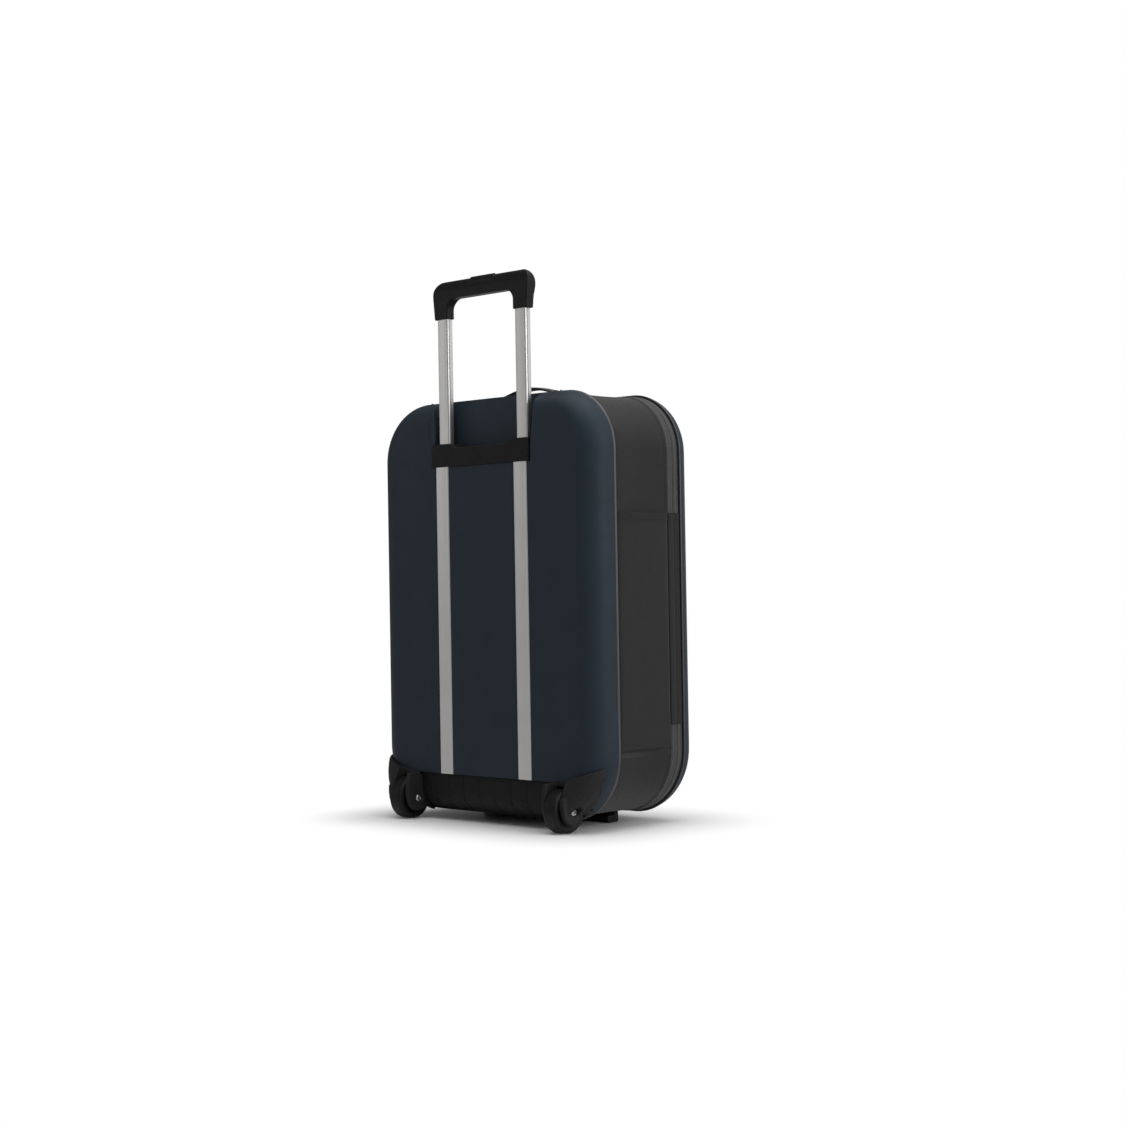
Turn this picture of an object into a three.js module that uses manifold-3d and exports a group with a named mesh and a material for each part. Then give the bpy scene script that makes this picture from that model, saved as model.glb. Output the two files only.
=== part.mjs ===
// Cabin suitcase: two shallow hard shells joined by a fabric gusset, with a telescopic trolley
// let into the back, two corner wheels, a top carry handle and a zipped lid.
//
// Millimetres. X across the case, Y from the trolley side (low) to the lid (high), Z up.
// Everything is first drawn with y = 0 on the back face; the last group moves the origin to
// the floor under the middle of the bounding box.

import * as THREE from 'three';
import { mergeVertices } from 'three/addons/utils/BufferGeometryUtils.js';
import Module from 'manifold-3d';

const wasm = await Module();
wasm.setup();

// ---------------------------------------------------------------- driving dimensions

const gap = 0.3;                 // clearance between pieces that touch

const caseWidth = 400;
const caseDepth = 200;           // back face to front face
const shellTop = 553;
const shellBottom = 11;
const topCorner = 78;            // corner radii of the case seen from the back
const bottomCorner = 86;
const shellEdge = 31;            // rounding between the back shell's flat face and its sides
const frontEdge = 70;            // the front shell curves in over a longer reach
const shellDepth = 36;
const wall = 2.4;

const pipingProud = 1;
const pipingWidth = 5;
const backPipingDepth = 5.4;
const frontPipingDepth = 2.4;
const zipTapeDepth = 10.2;
const tapeInset = 1.8;
const tapeThickness = 2;
const gussetInset = 3;
const fabric = 2;                // gusset thickness
const hoopDepth = 13;

const tubeSpacing = 72.3;        // centre line of each trolley tube from the middle
const railWidth = 23.6;
const railDepth = 18;
const railWall = 1.5;
const railBottom = 62;
const bracketBottom = 465;
const bracketTop = 493;
const bracketHalf = 89;
const tubeWidth = 19.4;
const tubeDepth = 10;
const tubeWall = 1.3;
const tubeMid = 10;              // depth of the tubes' centre behind the back face
const tubeBottom = 249;
const recessDepth = 22;
const recessHalf = 90;

const gripTop = 710;
const gripUnder = 686;
const collarBottom = 660;
const gripHalf = 88.5;
const gripMid = 11;
const gripDepth = 15;
const buttonTravel = 4;
const buttonHalf = 24;
const slotHalf = 4.7;            // half depth of the slot in the grip that the button slides in

const wheelCentre = 142.5;       // across
const axleBack = -3;
const wheelRadius = 27.5;
const wheelWidth = 22;
const cheekGap = 1.2;
const cheekWidth = 7.5;
const screwSink = 2.2;           // depth of the counterbore for an axle screw
const axleRadius = 3;

const baseTop = 61.7;            // the ribbed base plate between the wheels
const baseInset = 5;
const baseThickness = 3;
const baseDepth = 30;
const skinThickness = 2.6;       // wheel housing over the shell's corner
const skinFront = 16;
const skinTip = 84;
const ribPitch = 29;

const footHalf = 115;
const footBack = 108;
const footFront = 128;
const handleHalf = 92;
const handleBack = 89;
const handleFront = 111;
const handlePeak = 570;
const handleThickness = 4;

const pocketTop = 397;
const hingeBottom = 128;
const sliderMeet = 251;          // height at which the two zip sliders meet

// ---------------------------------------------------------------- derived places

const backPipingStart = shellDepth + gap;
const gussetStart = backPipingStart + backPipingDepth + gap;
const frontShellRim = caseDepth - shellDepth;
const frontPipingStart = frontShellRim - gap - frontPipingDepth;
const frontTapeStart = frontPipingStart - gap - zipTapeDepth;
const rearTapeStart = frontTapeStart - 0.6 - zipTapeDepth;
const gussetEnd = rearTapeStart - gap;
const gussetTop = shellTop - gussetInset;
const gussetBottom = shellBottom + gussetInset;
const cheekOut = wheelWidth / 2 + cheekGap;           // inner face of a fork cheek
const forkHalf = cheekOut + cheekWidth;               // outer face of a fork cheek
const baseHalf = wheelCentre - forkHalf;              // the base plate fills between the forks
const lowestY = axleBack - wheelRadius;
const depthMiddle = (lowestY + caseDepth) / 2;

// ---------------------------------------------------------------- shape helpers

const quarter = Math.PI / 2;

function toSolid(geometry) {
  const bare = geometry.clone();
  bare.deleteAttribute('normal');
  bare.deleteAttribute('uv');
  const merged = mergeVertices(bare, 1e-4);
  const mesh = new wasm.Mesh({
    numProp: 3,
    vertProperties: new Float32Array(merged.attributes.position.array),
    triVerts: new Uint32Array(merged.index.array),
  });
  mesh.merge();
  return new wasm.Manifold(mesh);
}

function toGeometry(solid) {
  const mesh = solid.getMesh();
  const geometry = new THREE.BufferGeometry();
  geometry.setAttribute('position', new THREE.BufferAttribute(mesh.vertProperties, 3));
  geometry.setIndex(new THREE.BufferAttribute(mesh.triVerts, 1));
  geometry.computeVertexNormals();
  return geometry;
}

// A box given by its low and high corner.
function block(low, high) {
  const size = high.map((value, axis) => value - low[axis]);
  const geometry = new THREE.BoxGeometry(...size);
  geometry.translate(...high.map((value, axis) => (value + low[axis]) / 2));
  return toSolid(geometry);
}

// A shape drawn in x and z, pushed along y from y0 to y1, with an optional rounded edge.
function extrudeY(shape, y0, y1, round = 0, steps = 3, reach = round) {
  const geometry = new THREE.ExtrudeGeometry(shape, extrudeOptions(y1 - y0, round, steps, reach));
  geometry.translate(0, 0, -(y1 - y0) + round);
  geometry.rotateX(quarter);
  geometry.translate(0, y0, 0);
  return toSolid(geometry);
}

// A shape drawn in y and z, pushed along x from x0 to x1.
function extrudeX(shape, x0, x1, round = 0, steps = 3) {
  const geometry = new THREE.ExtrudeGeometry(shape, extrudeOptions(x1 - x0, round, steps));
  geometry.translate(0, 0, x0 + round);
  const turn = new THREE.Matrix4().makeBasis(
    new THREE.Vector3(0, 1, 0),
    new THREE.Vector3(0, 0, 1),
    new THREE.Vector3(1, 0, 0),
  );
  geometry.applyMatrix4(turn);
  return toSolid(geometry);
}

function extrudeOptions(length, round, steps, reach = round) {
  return {
    depth: length - 2 * round,
    bevelEnabled: round > 0,
    bevelThickness: round,
    bevelSize: reach,
    bevelOffset: -reach,
    bevelSegments: steps,
    curveSegments: 5,
  };
}

// A ring or disc turned about an axle along x; the profile holds [radius, x] pairs.
function turnedX(profile, centre, segments = 32) {
  const points = profile.map(([radius, along]) => new THREE.Vector2(radius, along));
  const geometry = new THREE.LatheGeometry(points, segments);
  geometry.rotateZ(-quarter);
  geometry.translate(...centre);
  return toSolid(geometry);
}

// A ring or disc turned about a vertical line; the profile holds [radius, z] pairs.
function turnedZ(profile, centre, segments = 16) {
  const points = profile.map(([radius, along]) => new THREE.Vector2(radius, along));
  const geometry = new THREE.LatheGeometry(points, segments);
  geometry.rotateX(quarter);
  geometry.translate(...centre);
  return toSolid(geometry);
}

// A closed profile for a ring of square section.
function ringProfile(inner, outer, half) {
  return [[inner, -half], [outer, -half], [outer, half], [inner, half], [inner, -half]];
}

function cylinderX(radius, x0, x1, y, z, segments = 32) {
  const geometry = new THREE.CylinderGeometry(radius, radius, x1 - x0, segments);
  geometry.rotateZ(quarter);
  geometry.translate((x0 + x1) / 2, y, z);
  return toSolid(geometry);
}

function cylinderY(radius, y0, y1, x, z, segments = 16) {
  const geometry = new THREE.CylinderGeometry(radius, radius, y1 - y0, segments);
  geometry.translate(x, (y0 + y1) / 2, z);
  return toSolid(geometry);
}

function roundedRect(x0, y0, x1, y1, radius) {
  const shape = new THREE.Shape();
  shape.moveTo(x0 + radius, y0);
  shape.absarc(x1 - radius, y0 + radius, radius, -quarter, 0, false);
  shape.absarc(x1 - radius, y1 - radius, radius, 0, quarter, false);
  shape.absarc(x0 + radius, y1 - radius, radius, quarter, 2 * quarter, false);
  shape.absarc(x0 + radius, y0 + radius, radius, 2 * quarter, 3 * quarter, false);
  return shape;
}

function polygon(points) {
  return new THREE.Shape(points.map(([x, y]) => new THREE.Vector2(x, y)));
}

function join(solids) {
  return solids.reduce((sum, solid) => sum.add(solid));
}

// The same solid leaning back below a given height, by slope millimetres for each millimetre.
function leanBack(solid, slope, height) {
  return solid.transform([1, 0, 0, 0, 0, 1, 0, 0, 0, slope, 1, 0, 0, -slope * height, 0, 1]);
}

// The same solid on the other side of the case.
function mirrored(solid) {
  return solid.mirror([1, 0, 0]);
}

// ---------------------------------------------------------------- the case outline

// Outline of the case seen from the back, drawn in x and z and pulled in by inset.
function caseOutline(inset) {
  const right = caseWidth / 2 - inset;
  const top = shellTop - inset;
  const bottom = shellBottom + inset;
  const upper = topCorner - inset;
  const lower = bottomCorner - inset;
  const shape = new THREE.Shape();
  shape.moveTo(lower - right, bottom);
  shape.absarc(right - lower, bottom + lower, lower, -quarter, 0, false);
  shape.absarc(right - upper, top - upper, upper, 0, quarter, false);
  shape.absarc(upper - right, top - upper, upper, quarter, 2 * quarter, false);
  shape.absarc(lower - right, bottom + lower, lower, 2 * quarter, 3 * quarter, false);
  return shape;
}

// A band that follows the case outline, from inset to inset + thickness, between y0 and y1.
function caseBand(inset, thickness, y0, y1) {
  const outer = extrudeY(caseOutline(inset), y0, y1);
  const inner = extrudeY(caseOutline(inset + thickness), y0 - 1, y1 + 1);
  return outer.subtract(inner);
}

// The rounded dish of a shell as a solid block, pulled in by inset, running past the rim.
function dish(inset) {
  const round = shellEdge - inset;
  return extrudeY(caseOutline(inset), inset, inset + 2 * round + shellDepth, round, 6);
}

// The flatter dish of the front shell: its edge is as deep as the shell and longer than deep.
function frontDish(inset) {
  const deep = shellDepth - inset;
  return extrudeY(caseOutline(inset), inset, inset + 2 * deep + 10, deep, 8, frontEdge - inset);
}

// ---------------------------------------------------------------- hollows of the back shell

// The scoop that the grip sinks into, with the bracket's pocket at its lower end.
function recess(grow) {
  const low = bracketBottom - gap - grow;
  const high = shellTop + 10;
  const floor = recessDepth + grow;
  const side = new THREE.Shape();
  side.moveTo(-10, low);
  side.lineTo(floor, low);
  side.lineTo(floor, 520);
  side.quadraticCurveTo(floor + 1, 540, floor + 8, high);
  side.lineTo(-10, high);
  const half = recessHalf + grow;
  const face = new THREE.Shape();
  face.moveTo(-half, low);
  face.lineTo(half, low);
  face.lineTo(half, 515);
  face.quadraticCurveTo(half, 540, half + 9, high);
  face.lineTo(-half - 9, high);
  face.quadraticCurveTo(-half, 540, -half, 515);
  return extrudeX(side, -half - 12, half + 12).intersect(extrudeY(face, -10, floor + 20));
}

function railGroove(grow) {
  const half = railWidth / 2 + gap + grow;
  return block(
    [tubeSpacing - half, -5, baseTop - grow - 2],
    [tubeSpacing + half, railDepth + gap + grow, bracketBottom + 2],
  );
}

function baseStep(grow) {
  const zone = block(
    [-baseHalf - grow, -5, 0],
    [baseHalf + grow, baseDepth + grow, baseTop + grow],
  );
  return zone.subtract(dish(baseInset + baseThickness + gap + grow));
}

function wheelWell(grow) {
  const radius = wheelRadius + 5.5 + grow;
  return cylinderX(
    radius, wheelCentre - forkHalf - gap - grow, wheelCentre + forkHalf + gap + grow,
    axleBack, wheelRadius,
  );
}

function hollows(grow) {
  const groove = railGroove(grow);
  const well = wheelWell(grow);
  return join([
    recess(grow), groove, mirrored(groove), baseStep(grow), well, mirrored(well),
  ]);
}

// The back shell as a solid form, pulled in by inset, with every outside hollow in it.
function backForm(inset) {
  return dish(inset).subtract(hollows(inset));
}

// ---------------------------------------------------------------- shells and trims

const beyondRim = block([-300, shellDepth, -50], [300, 300, 700]);

function backShell() {
  return backForm(0).subtract(backForm(wall)).subtract(beyondRim);
}

function frontShell() {
  const shell = frontDish(0).subtract(frontDish(wall)).subtract(beyondRim);
  return shell.rotate([0, 0, 180]).translate([0, caseDepth, 0]);
}

function backLining() {
  const start = recessDepth + wall + 0.8;
  const panel = extrudeY(caseOutline(6), start, start + 1.6);
  return panel.subtract(hollows(wall + 2 * gap));
}

function dividerPanel() {
  const start = frontShellRim + 7;
  return extrudeY(caseOutline(5), start, start + 1.4);
}

// The hinge side carries no zip, so both tapes stop above and below it.
function zipTape(y0) {
  const hinge = block(
    [caseWidth / 2 - 12, y0 - 1, hingeBottom],
    [caseWidth / 2 + 2, y0 + zipTapeDepth + 1, pocketTop],
  );
  return caseBand(tapeInset, tapeThickness, y0, y0 + zipTapeDepth).subtract(hinge);
}

// One half of the fabric hinge, in line with the tape that starts at y0.
function hingeHalf(y0) {
  const outer = caseWidth / 2 - tapeInset;
  return block(
    [outer - tapeThickness, y0, hingeBottom + gap],
    [outer, y0 + zipTapeDepth, pocketTop - gap],
  );
}

function sidePocket() {
  const inner = caseWidth / 2 - gussetInset + gap;
  return block([inner, gussetStart + 2, 100], [inner + 1.7, gussetEnd - 2, pocketTop]);
}

// ---------------------------------------------------------------- base, foot and wheels

function basePlate() {
  const zone = block(
    [-baseHalf + gap, -5, 0],
    [baseHalf - gap, baseDepth - gap, baseTop - gap],
  );
  const plate = zone.intersect(dish(baseInset)).subtract(dish(baseInset + baseThickness));
  const grooves = [];
  for (let step = 0; step < 8; step += 1) {
    const x = (step - 3.5) * ribPitch;
    grooves.push(block([x - 0.8, -5, 0], [x + 0.8, baseDepth - 3, baseTop + 1]));
  }
  return plate.subtract(join(grooves).subtract(dish(baseInset + 1)));
}

// Side outline of a fork cheek, in y and z: round behind the wheel, drawn up to a point on the
// corner of the shell, with its front lower end at the heel.
function forkOutline(heelY, heelZ) {
  const shape = new THREE.Shape();
  shape.moveTo(skinFront, skinTip);
  shape.quadraticCurveTo(-8, 81, -18, 64);
  shape.quadraticCurveTo(-24, 52, -23.5, 34);
  shape.quadraticCurveTo(-22, 11, -4, 10.5);
  shape.lineTo(heelY, heelZ);
  shape.lineTo(heelY, 50);
  return shape;
}

// The corner cover with its wheel arch and the fork's two cheeks, on the +X side.
function wheelHousing() {
  const x0 = wheelCentre - forkHalf;
  const x1 = wheelCentre + forkHalf;
  const cover = extrudeY(
    polygon([[x0, 8], [205, 8], [205, 85], [188, 77], [160, 67.5], [133, 62.5], [x0, baseTop]]),
    -40, skinFront,
  );
  const skin = cover.intersect(dish(-skinThickness));
  const arch = wheelWell(-gap).intersect(dish(-skinThickness));
  const flare = leanBack(dish(-skinThickness), 0.5, skinTip);
  const outerSide = flare.add(block([x0, -40, 0], [x1, skinFront, 45]));
  const outerCheek = extrudeX(forkOutline(skinFront, 27), x1 - cheekWidth, 206)
    .intersect(outerSide)
    .intersect(cover.add(block([x0, -40, 0], [205, skinFront, 20])));
  const innerCheek = extrudeX(forkOutline(20, 16), x0, x0 + cheekWidth, 1.5, 1)
    .intersect(block([x0, -40, 0], [x1, 30, baseTop]));
  const wheelRoom = cylinderX(
    wheelRadius + 2, wheelCentre - cheekOut, wheelCentre + cheekOut, axleBack, wheelRadius,
  );
  const bore = cylinderX(axleRadius + gap, x0 - 5, x1 + 5, axleBack, wheelRadius, 20);
  const sinks = [[x0 - 5, x0 + screwSink], [x1 - screwSink, x1 + 60]].map(
    ([low, high]) => cylinderX(6, low, high, axleBack, wheelRadius, 20),
  );
  return join([skin, arch, outerCheek, innerCheek])
    .subtract(wheelRoom)
    .subtract(join([bore, ...sinks]))
    .subtract(backForm(-gap));
}

function tyre() {
  const half = wheelWidth / 2;
  const profile = [
    [18, -half + 2], [23, -half], [26, -half + 1.5], [wheelRadius, -half + 5],
    [wheelRadius, half - 5], [26, half - 1.5], [23, half], [18, half - 2], [18, -half + 2],
  ];
  return turnedX(profile, [wheelCentre, axleBack, wheelRadius], 40);
}

function hub() {
  const half = wheelWidth / 2 - 2.5;
  const profile = [
    [8, -half], [10, -half], [11, -3], [14.5, -3], [15.5, -half], [18 - gap, -half],
    [18 - gap, half], [15.5, half], [14.5, 3], [11, 3], [10, half], [8, half], [8, -half],
  ];
  return turnedX(profile, [wheelCentre, axleBack, wheelRadius], 32);
}

function wheelBearing(side) {
  const x = wheelCentre + side * 6.5;
  const profile = ringProfile(axleRadius + gap, 8 - gap, 2.5);
  return turnedX(profile, [x, axleBack, wheelRadius], 24);
}

function axle() {
  const half = forkHalf - screwSink - gap;
  return cylinderX(axleRadius, wheelCentre - half, wheelCentre + half, axleBack, wheelRadius, 20);
}

function axleScrew(side) {
  const low = forkHalf - screwSink;
  const profile = side > 0
    ? [[0, low], [5.2, low], [5.2, low + 1], [4, low + 1.8], [0, low + 1.8]]
    : [[0, -low - 1.8], [4, -low - 1.8], [5.2, -low - 1], [5.2, -low], [0, -low]];
  return turnedX(profile, [wheelCentre, axleBack, wheelRadius], 20);
}

function footBar() {
  const low = shellBottom - pipingProud - gap;
  const bar = extrudeX(
    polygon([[footBack + 1.5, 0], [footFront - 1.5, 0], [footFront, 2], [footFront, low],
      [footBack, low], [footBack, 2]]),
    -footHalf, footHalf,
  );
  const seat = block([-footHalf, footBack + 12, low - 1], [footHalf, footFront, gussetBottom - gap]);
  return bar.add(seat);
}

function topHandle() {
  const low = gussetTop + gap + 0.1;
  const high = handlePeak;
  const shape = new THREE.Shape();
  shape.moveTo(-handleHalf, low);
  shape.lineTo(-handleHalf + 18, low);
  shape.bezierCurveTo(-55, low, -45, high - handleThickness, 0, high - handleThickness);
  shape.bezierCurveTo(45, high - handleThickness, 55, low, handleHalf - 18, low);
  shape.lineTo(handleHalf, low);
  shape.lineTo(handleHalf, low + handleThickness - 1);
  shape.bezierCurveTo(64, low + handleThickness - 1, 50, high, 0, high);
  shape.bezierCurveTo(-50, high, -64, low + handleThickness - 1, -handleHalf, low + handleThickness - 1);
  return extrudeY(shape, handleBack, handleFront);
}

// ---------------------------------------------------------------- trolley

// A rectangular tube along z at the right-hand trolley line.
function boxTube(width, y0, y1, thickness, z0, z1) {
  const half = width / 2;
  const outer = block([tubeSpacing - half, y0, z0], [tubeSpacing + half, y1, z1]);
  const inner = block(
    [tubeSpacing - half + thickness, y0 + thickness, z0 - 1],
    [tubeSpacing + half - thickness, y1 - thickness, z1 + 1],
  );
  return outer.subtract(inner);
}

// The fixed rail, slotted behind for the lock pins.
function rail() {
  const top = bracketBottom + 15;
  const tube = boxTube(railWidth, 0, railDepth, railWall, railBottom, top);
  const slot = block(
    [tubeSpacing - 2.6, railDepth - railWall - 1, railBottom + 10],
    [tubeSpacing + 2.6, railDepth + 1, bracketBottom],
  );
  return tube.subtract(slot);
}

function bracket() {
  const cuts = [];
  for (const side of [-1, 1]) {
    const x = side * tubeSpacing;
    const railHalf = railWidth / 2 + gap;
    const bushHalf = tubeWidth / 2 + 2.6;
    cuts.push(block(
      [x - railHalf, -gap, bracketBottom - 1],
      [x + railHalf, railDepth + gap, bracketBottom + 15 + gap],
    ));
    cuts.push(block(
      [x - bushHalf, tubeMid - tubeDepth / 2 - 3.8, bracketBottom + 15],
      [x + bushHalf, tubeMid + tubeDepth / 2 + 3.8, bracketTop + 1],
    ));
  }
  const face = roundedRect(-bracketHalf, bracketBottom, bracketHalf, bracketTop, 2);
  return extrudeY(face, -1.5, recessDepth - gap).subtract(join(cuts));
}

function tubeBush() {
  const half = tubeWidth / 2 + 2.6 - gap;
  const back = tubeMid - tubeDepth / 2 - 3.8 + gap;
  const front = tubeMid + tubeDepth / 2 + 3.8 - gap;
  const body = block(
    [tubeSpacing - half, back, bracketBottom + 15 + 2 * gap],
    [tubeSpacing + half, front, bracketTop + 2.5],
  );
  const slide = block(
    [tubeSpacing - tubeWidth / 2 - gap, tubeMid - tubeDepth / 2 - gap, bracketBottom],
    [tubeSpacing + tubeWidth / 2 + gap, tubeMid + tubeDepth / 2 + gap, bracketTop + 5],
  );
  return body.subtract(slide);
}

function innerTube() {
  const back = tubeMid - tubeDepth / 2;
  return boxTube(tubeWidth, back, back + tubeDepth, tubeWall, tubeBottom, gripUnder + 2);
}

const pinHeight = tubeBottom - 7;

// The plastic end of an inner tube; it guides the tube in the rail and holds the lock pin.
function tubeEnd() {
  const half = railWidth / 2 - railWall - 0.4;
  const body = block(
    [tubeSpacing - half, railWall + 0.4, tubeBottom - 23],
    [tubeSpacing + half, railDepth - railWall - 0.4, tubeBottom - gap],
  );
  const rodSlot = block([tubeSpacing - 3.6, 6, pinHeight - 3], [tubeSpacing + 3.6, 13, tubeBottom]);
  const pinHole = cylinderY(2.3, 8, railDepth, tubeSpacing, pinHeight);
  return body.subtract(rodSlot).subtract(pinHole);
}

function lockPin() {
  return cylinderY(2, 12.4, railDepth - 0.4, tubeSpacing, pinHeight);
}

function pushRod() {
  const low = pinHeight + 2 + gap + buttonTravel;
  const collar = tubeBottom + 22;
  const top = gripUnder + 8;
  const profile = [
    [0, low], [1.6, low], [1.6, collar], [3.2, collar], [3.2, collar + 3],
    [1.6, collar + 3], [1.6, top], [0, top],
  ];
  return turnedZ(profile, [tubeSpacing, tubeMid, 0], 12);
}

function returnSpring() {
  const low = tubeBottom + gap;
  const high = tubeBottom + 22 - gap;
  const profile = [[2.2, low], [3.3, low], [3.3, high], [2.2, high], [2.2, low]];
  return turnedZ(profile, [tubeSpacing, tubeMid, 0], 12);
}

// The bridge-shaped grip: a bar with a collar down over each tube.
function grip() {
  const collarIn = tubeSpacing - tubeWidth / 2 - 2;
  const collarOut = gripHalf - 3;
  const round = 14;
  const shape = new THREE.Shape();
  shape.moveTo(collarIn, collarBottom);
  shape.lineTo(collarOut, collarBottom);
  shape.lineTo(gripHalf, gripTop - 18);
  shape.quadraticCurveTo(gripHalf, gripTop, gripHalf - round, gripTop);
  shape.lineTo(round - gripHalf, gripTop);
  shape.quadraticCurveTo(-gripHalf, gripTop, -gripHalf, gripTop - 18);
  shape.lineTo(-collarOut, collarBottom);
  shape.lineTo(-collarIn, collarBottom);
  shape.lineTo(-collarIn, gripUnder - round);
  shape.absarc(round - collarIn, gripUnder - round, round, 2 * quarter, quarter, true);
  shape.absarc(collarIn - round, gripUnder - round, round, quarter, 0, true);
  const back = gripMid - gripDepth / 2;
  const body = extrudeY(shape, back, back + gripDepth, 3, 3);
  const cuts = [
    block([-80, gripMid - slotHalf, gripUnder + 4], [80, gripMid + slotHalf, gripTop - 6]),
    block(
      [-buttonHalf - gap, gripMid - slotHalf, gripTop - 7],
      [buttonHalf + gap, gripMid + slotHalf, gripTop + 5],
    ),
  ];
  for (const side of [-1, 1]) {
    const x = side * tubeSpacing;
    const half = tubeWidth / 2 + gap;
    cuts.push(block(
      [x - half, tubeMid - tubeDepth / 2 - gap, collarBottom - 5],
      [x + half, tubeMid + tubeDepth / 2 + gap, gripUnder + 5],
    ));
  }
  return body.subtract(join(cuts));
}

// The push button with the yoke that carries its travel to both push rods.
function releaseButton() {
  const yokeLow = gripUnder + 4 + buttonTravel + 0.5;
  const cap = extrudeY(
    polygon([
      [-buttonHalf, gripTop - 12], [buttonHalf, gripTop - 12], [buttonHalf, gripTop - 3],
      [buttonHalf - 7, gripTop + 1.5], [7 - buttonHalf, gripTop + 1.5], [-buttonHalf, gripTop - 3],
    ]),
    gripMid - slotHalf + 0.4, gripMid + slotHalf - 0.4,
  );
  const yoke = block(
    [-79, gripMid - slotHalf + 0.7, yokeLow],
    [79, gripMid + slotHalf - 0.7, yokeLow + 4.5],
  );
  return cap.add(yoke);
}

// ---------------------------------------------------------------- zip sliders and straps

const sliderFace = -(caseWidth / 2 - tapeInset) - gap;   // outer face of the tapes, -X side
const zipLine = (rearTapeStart + frontTapeStart + zipTapeDepth) / 2;
const tabPivotX = sliderFace - 4.8;

function zipSlider(middle, pivot) {
  const plate = block([sliderFace - 3, zipLine - 5, middle - 6], [sliderFace, zipLine + 5, middle + 6]);
  const lugs = [-5, 3.9].map((start) => block(
    [tabPivotX - 1.4, zipLine + start, pivot - 1.4],
    [sliderFace - 2, zipLine + start + 1.1, pivot + 1.4],
  ));
  const pin = cylinderY(0.7, zipLine - 4.5, zipLine + 4.5, tabPivotX, pivot, 10);
  return join([plate, ...lugs, pin]);
}

function pullTab(pivot) {
  const shape = roundedRect(zipLine - 3.5, pivot - 19, zipLine + 3.5, pivot + 1.2, 1.1);
  const tab = extrudeX(shape, tabPivotX - 1.1, tabPivotX + 1.1);
  return tab.subtract(cylinderY(0.9, zipLine - 5, zipLine + 5, tabPivotX, pivot, 10));
}

const strapStart = recessDepth + wall + 0.8 + 1.6 + gap;

function packingStrap(height) {
  return block([-165, strapStart, height - 19], [165, strapStart + 1.2, height + 19]);
}

function strapBuckle(height) {
  const start = strapStart + 1.2 + gap;
  const shape = roundedRect(-32, height - 23, 32, height + 23, 6);
  return extrudeY(shape, start, start + 6, 1.5, 1);
}

// ---------------------------------------------------------------- finishes

function finish(color, roughness, metalness = 0) {
  return new THREE.MeshStandardMaterial({ color, roughness, metalness });
}

const navyShell = () => finish('#252e36', 0.55);
const blackPlastic = () => finish('#1a1a1a', 0.6);
const wheelRubber = () => finish('#0e0e0e', 0.8);
const greyFabric = () => finish('#313131', 0.9);
const zipFabric = () => finish('#4d4d4d', 0.85);
const pipingCord = () => finish('#3c3b40', 0.5);
const liningFabric = () => finish('#3a3f46', 0.9);
const webbing = () => finish('#161616', 0.85);
const brightTube = () => finish('#a5a5a5', 0.35, 1);
const steel = () => finish('#9a9a9a', 0.3, 1);

// ---------------------------------------------------------------- assembly

const suitcase = new THREE.Group();

function addPiece(name, solid, material) {
  const piece = new THREE.Mesh(toGeometry(solid), material);
  piece.name = name;
  suitcase.add(piece);
}

// Adds a right-hand piece, seen from the back, and its mirror image.
function addPair(name, solid, finishOf) {
  addPiece(`${name}_right`, solid, finishOf());
  addPiece(`${name}_left`, mirrored(solid), finishOf());
}

addPiece('back_shell', backShell(), navyShell());
addPiece('back_piping', caseBand(
  -pipingProud, pipingWidth, backPipingStart, backPipingStart + backPipingDepth,
), pipingCord());
addPiece('gusset', caseBand(gussetInset, fabric, gussetStart, gussetEnd), greyFabric());
addPiece('side_pocket', sidePocket(), greyFabric());
addPiece('back_lining', backLining(), liningFabric());
addPiece('packing_strap_upper', packingStrap(380), webbing());
addPiece('packing_strap_lower', packingStrap(190), webbing());
addPiece('strap_buckle_upper', strapBuckle(380), blackPlastic());
addPiece('strap_buckle_lower', strapBuckle(190), blackPlastic());

addPiece('base_plate', basePlate(), blackPlastic());
addPair('wheel_housing', wheelHousing(), blackPlastic);
addPair('axle', axle(), steel);
addPair('axle_screw_outer', axleScrew(1), steel);
addPair('axle_screw_inner', axleScrew(-1), steel);
addPair('tyre', tyre(), wheelRubber);
addPair('wheel_hub', hub(), blackPlastic);
addPair('bearing_outer', wheelBearing(1), steel);
addPair('bearing_inner', wheelBearing(-1), steel);

addPiece('tube_bracket', bracket(), blackPlastic());
addPair('rail', rail(), brightTube);
addPair('tube_bush', tubeBush(), blackPlastic);
addPair('inner_tube', innerTube(), brightTube);
addPair('tube_end', tubeEnd(), blackPlastic);
addPair('lock_pin', lockPin(), steel);
addPair('push_rod', pushRod(), steel);
addPair('return_spring', returnSpring(), steel);
addPiece('grip', grip(), blackPlastic());
addPiece('release_button', releaseButton(), blackPlastic());

addPiece('front_hoop', caseBand(
  gussetInset + fabric + gap, 3, gussetEnd - hoopDepth, gussetEnd,
), blackPlastic());
addPiece('zip_tape_rear', zipTape(rearTapeStart), zipFabric());
addPiece('hinge_fabric_rear', hingeHalf(rearTapeStart), greyFabric());
addPiece('foot_bar', footBar(), blackPlastic());
addPiece('top_handle', topHandle(), webbing());

addPiece('front_shell', frontShell(), navyShell());
addPiece('front_piping', caseBand(
  -pipingProud, pipingWidth, frontPipingStart, frontPipingStart + frontPipingDepth,
), pipingCord());
addPiece('zip_tape_front', zipTape(frontTapeStart), zipFabric());
addPiece('hinge_fabric_front', hingeHalf(frontTapeStart), greyFabric());
addPiece('divider_panel', dividerPanel(), liningFabric());

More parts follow.
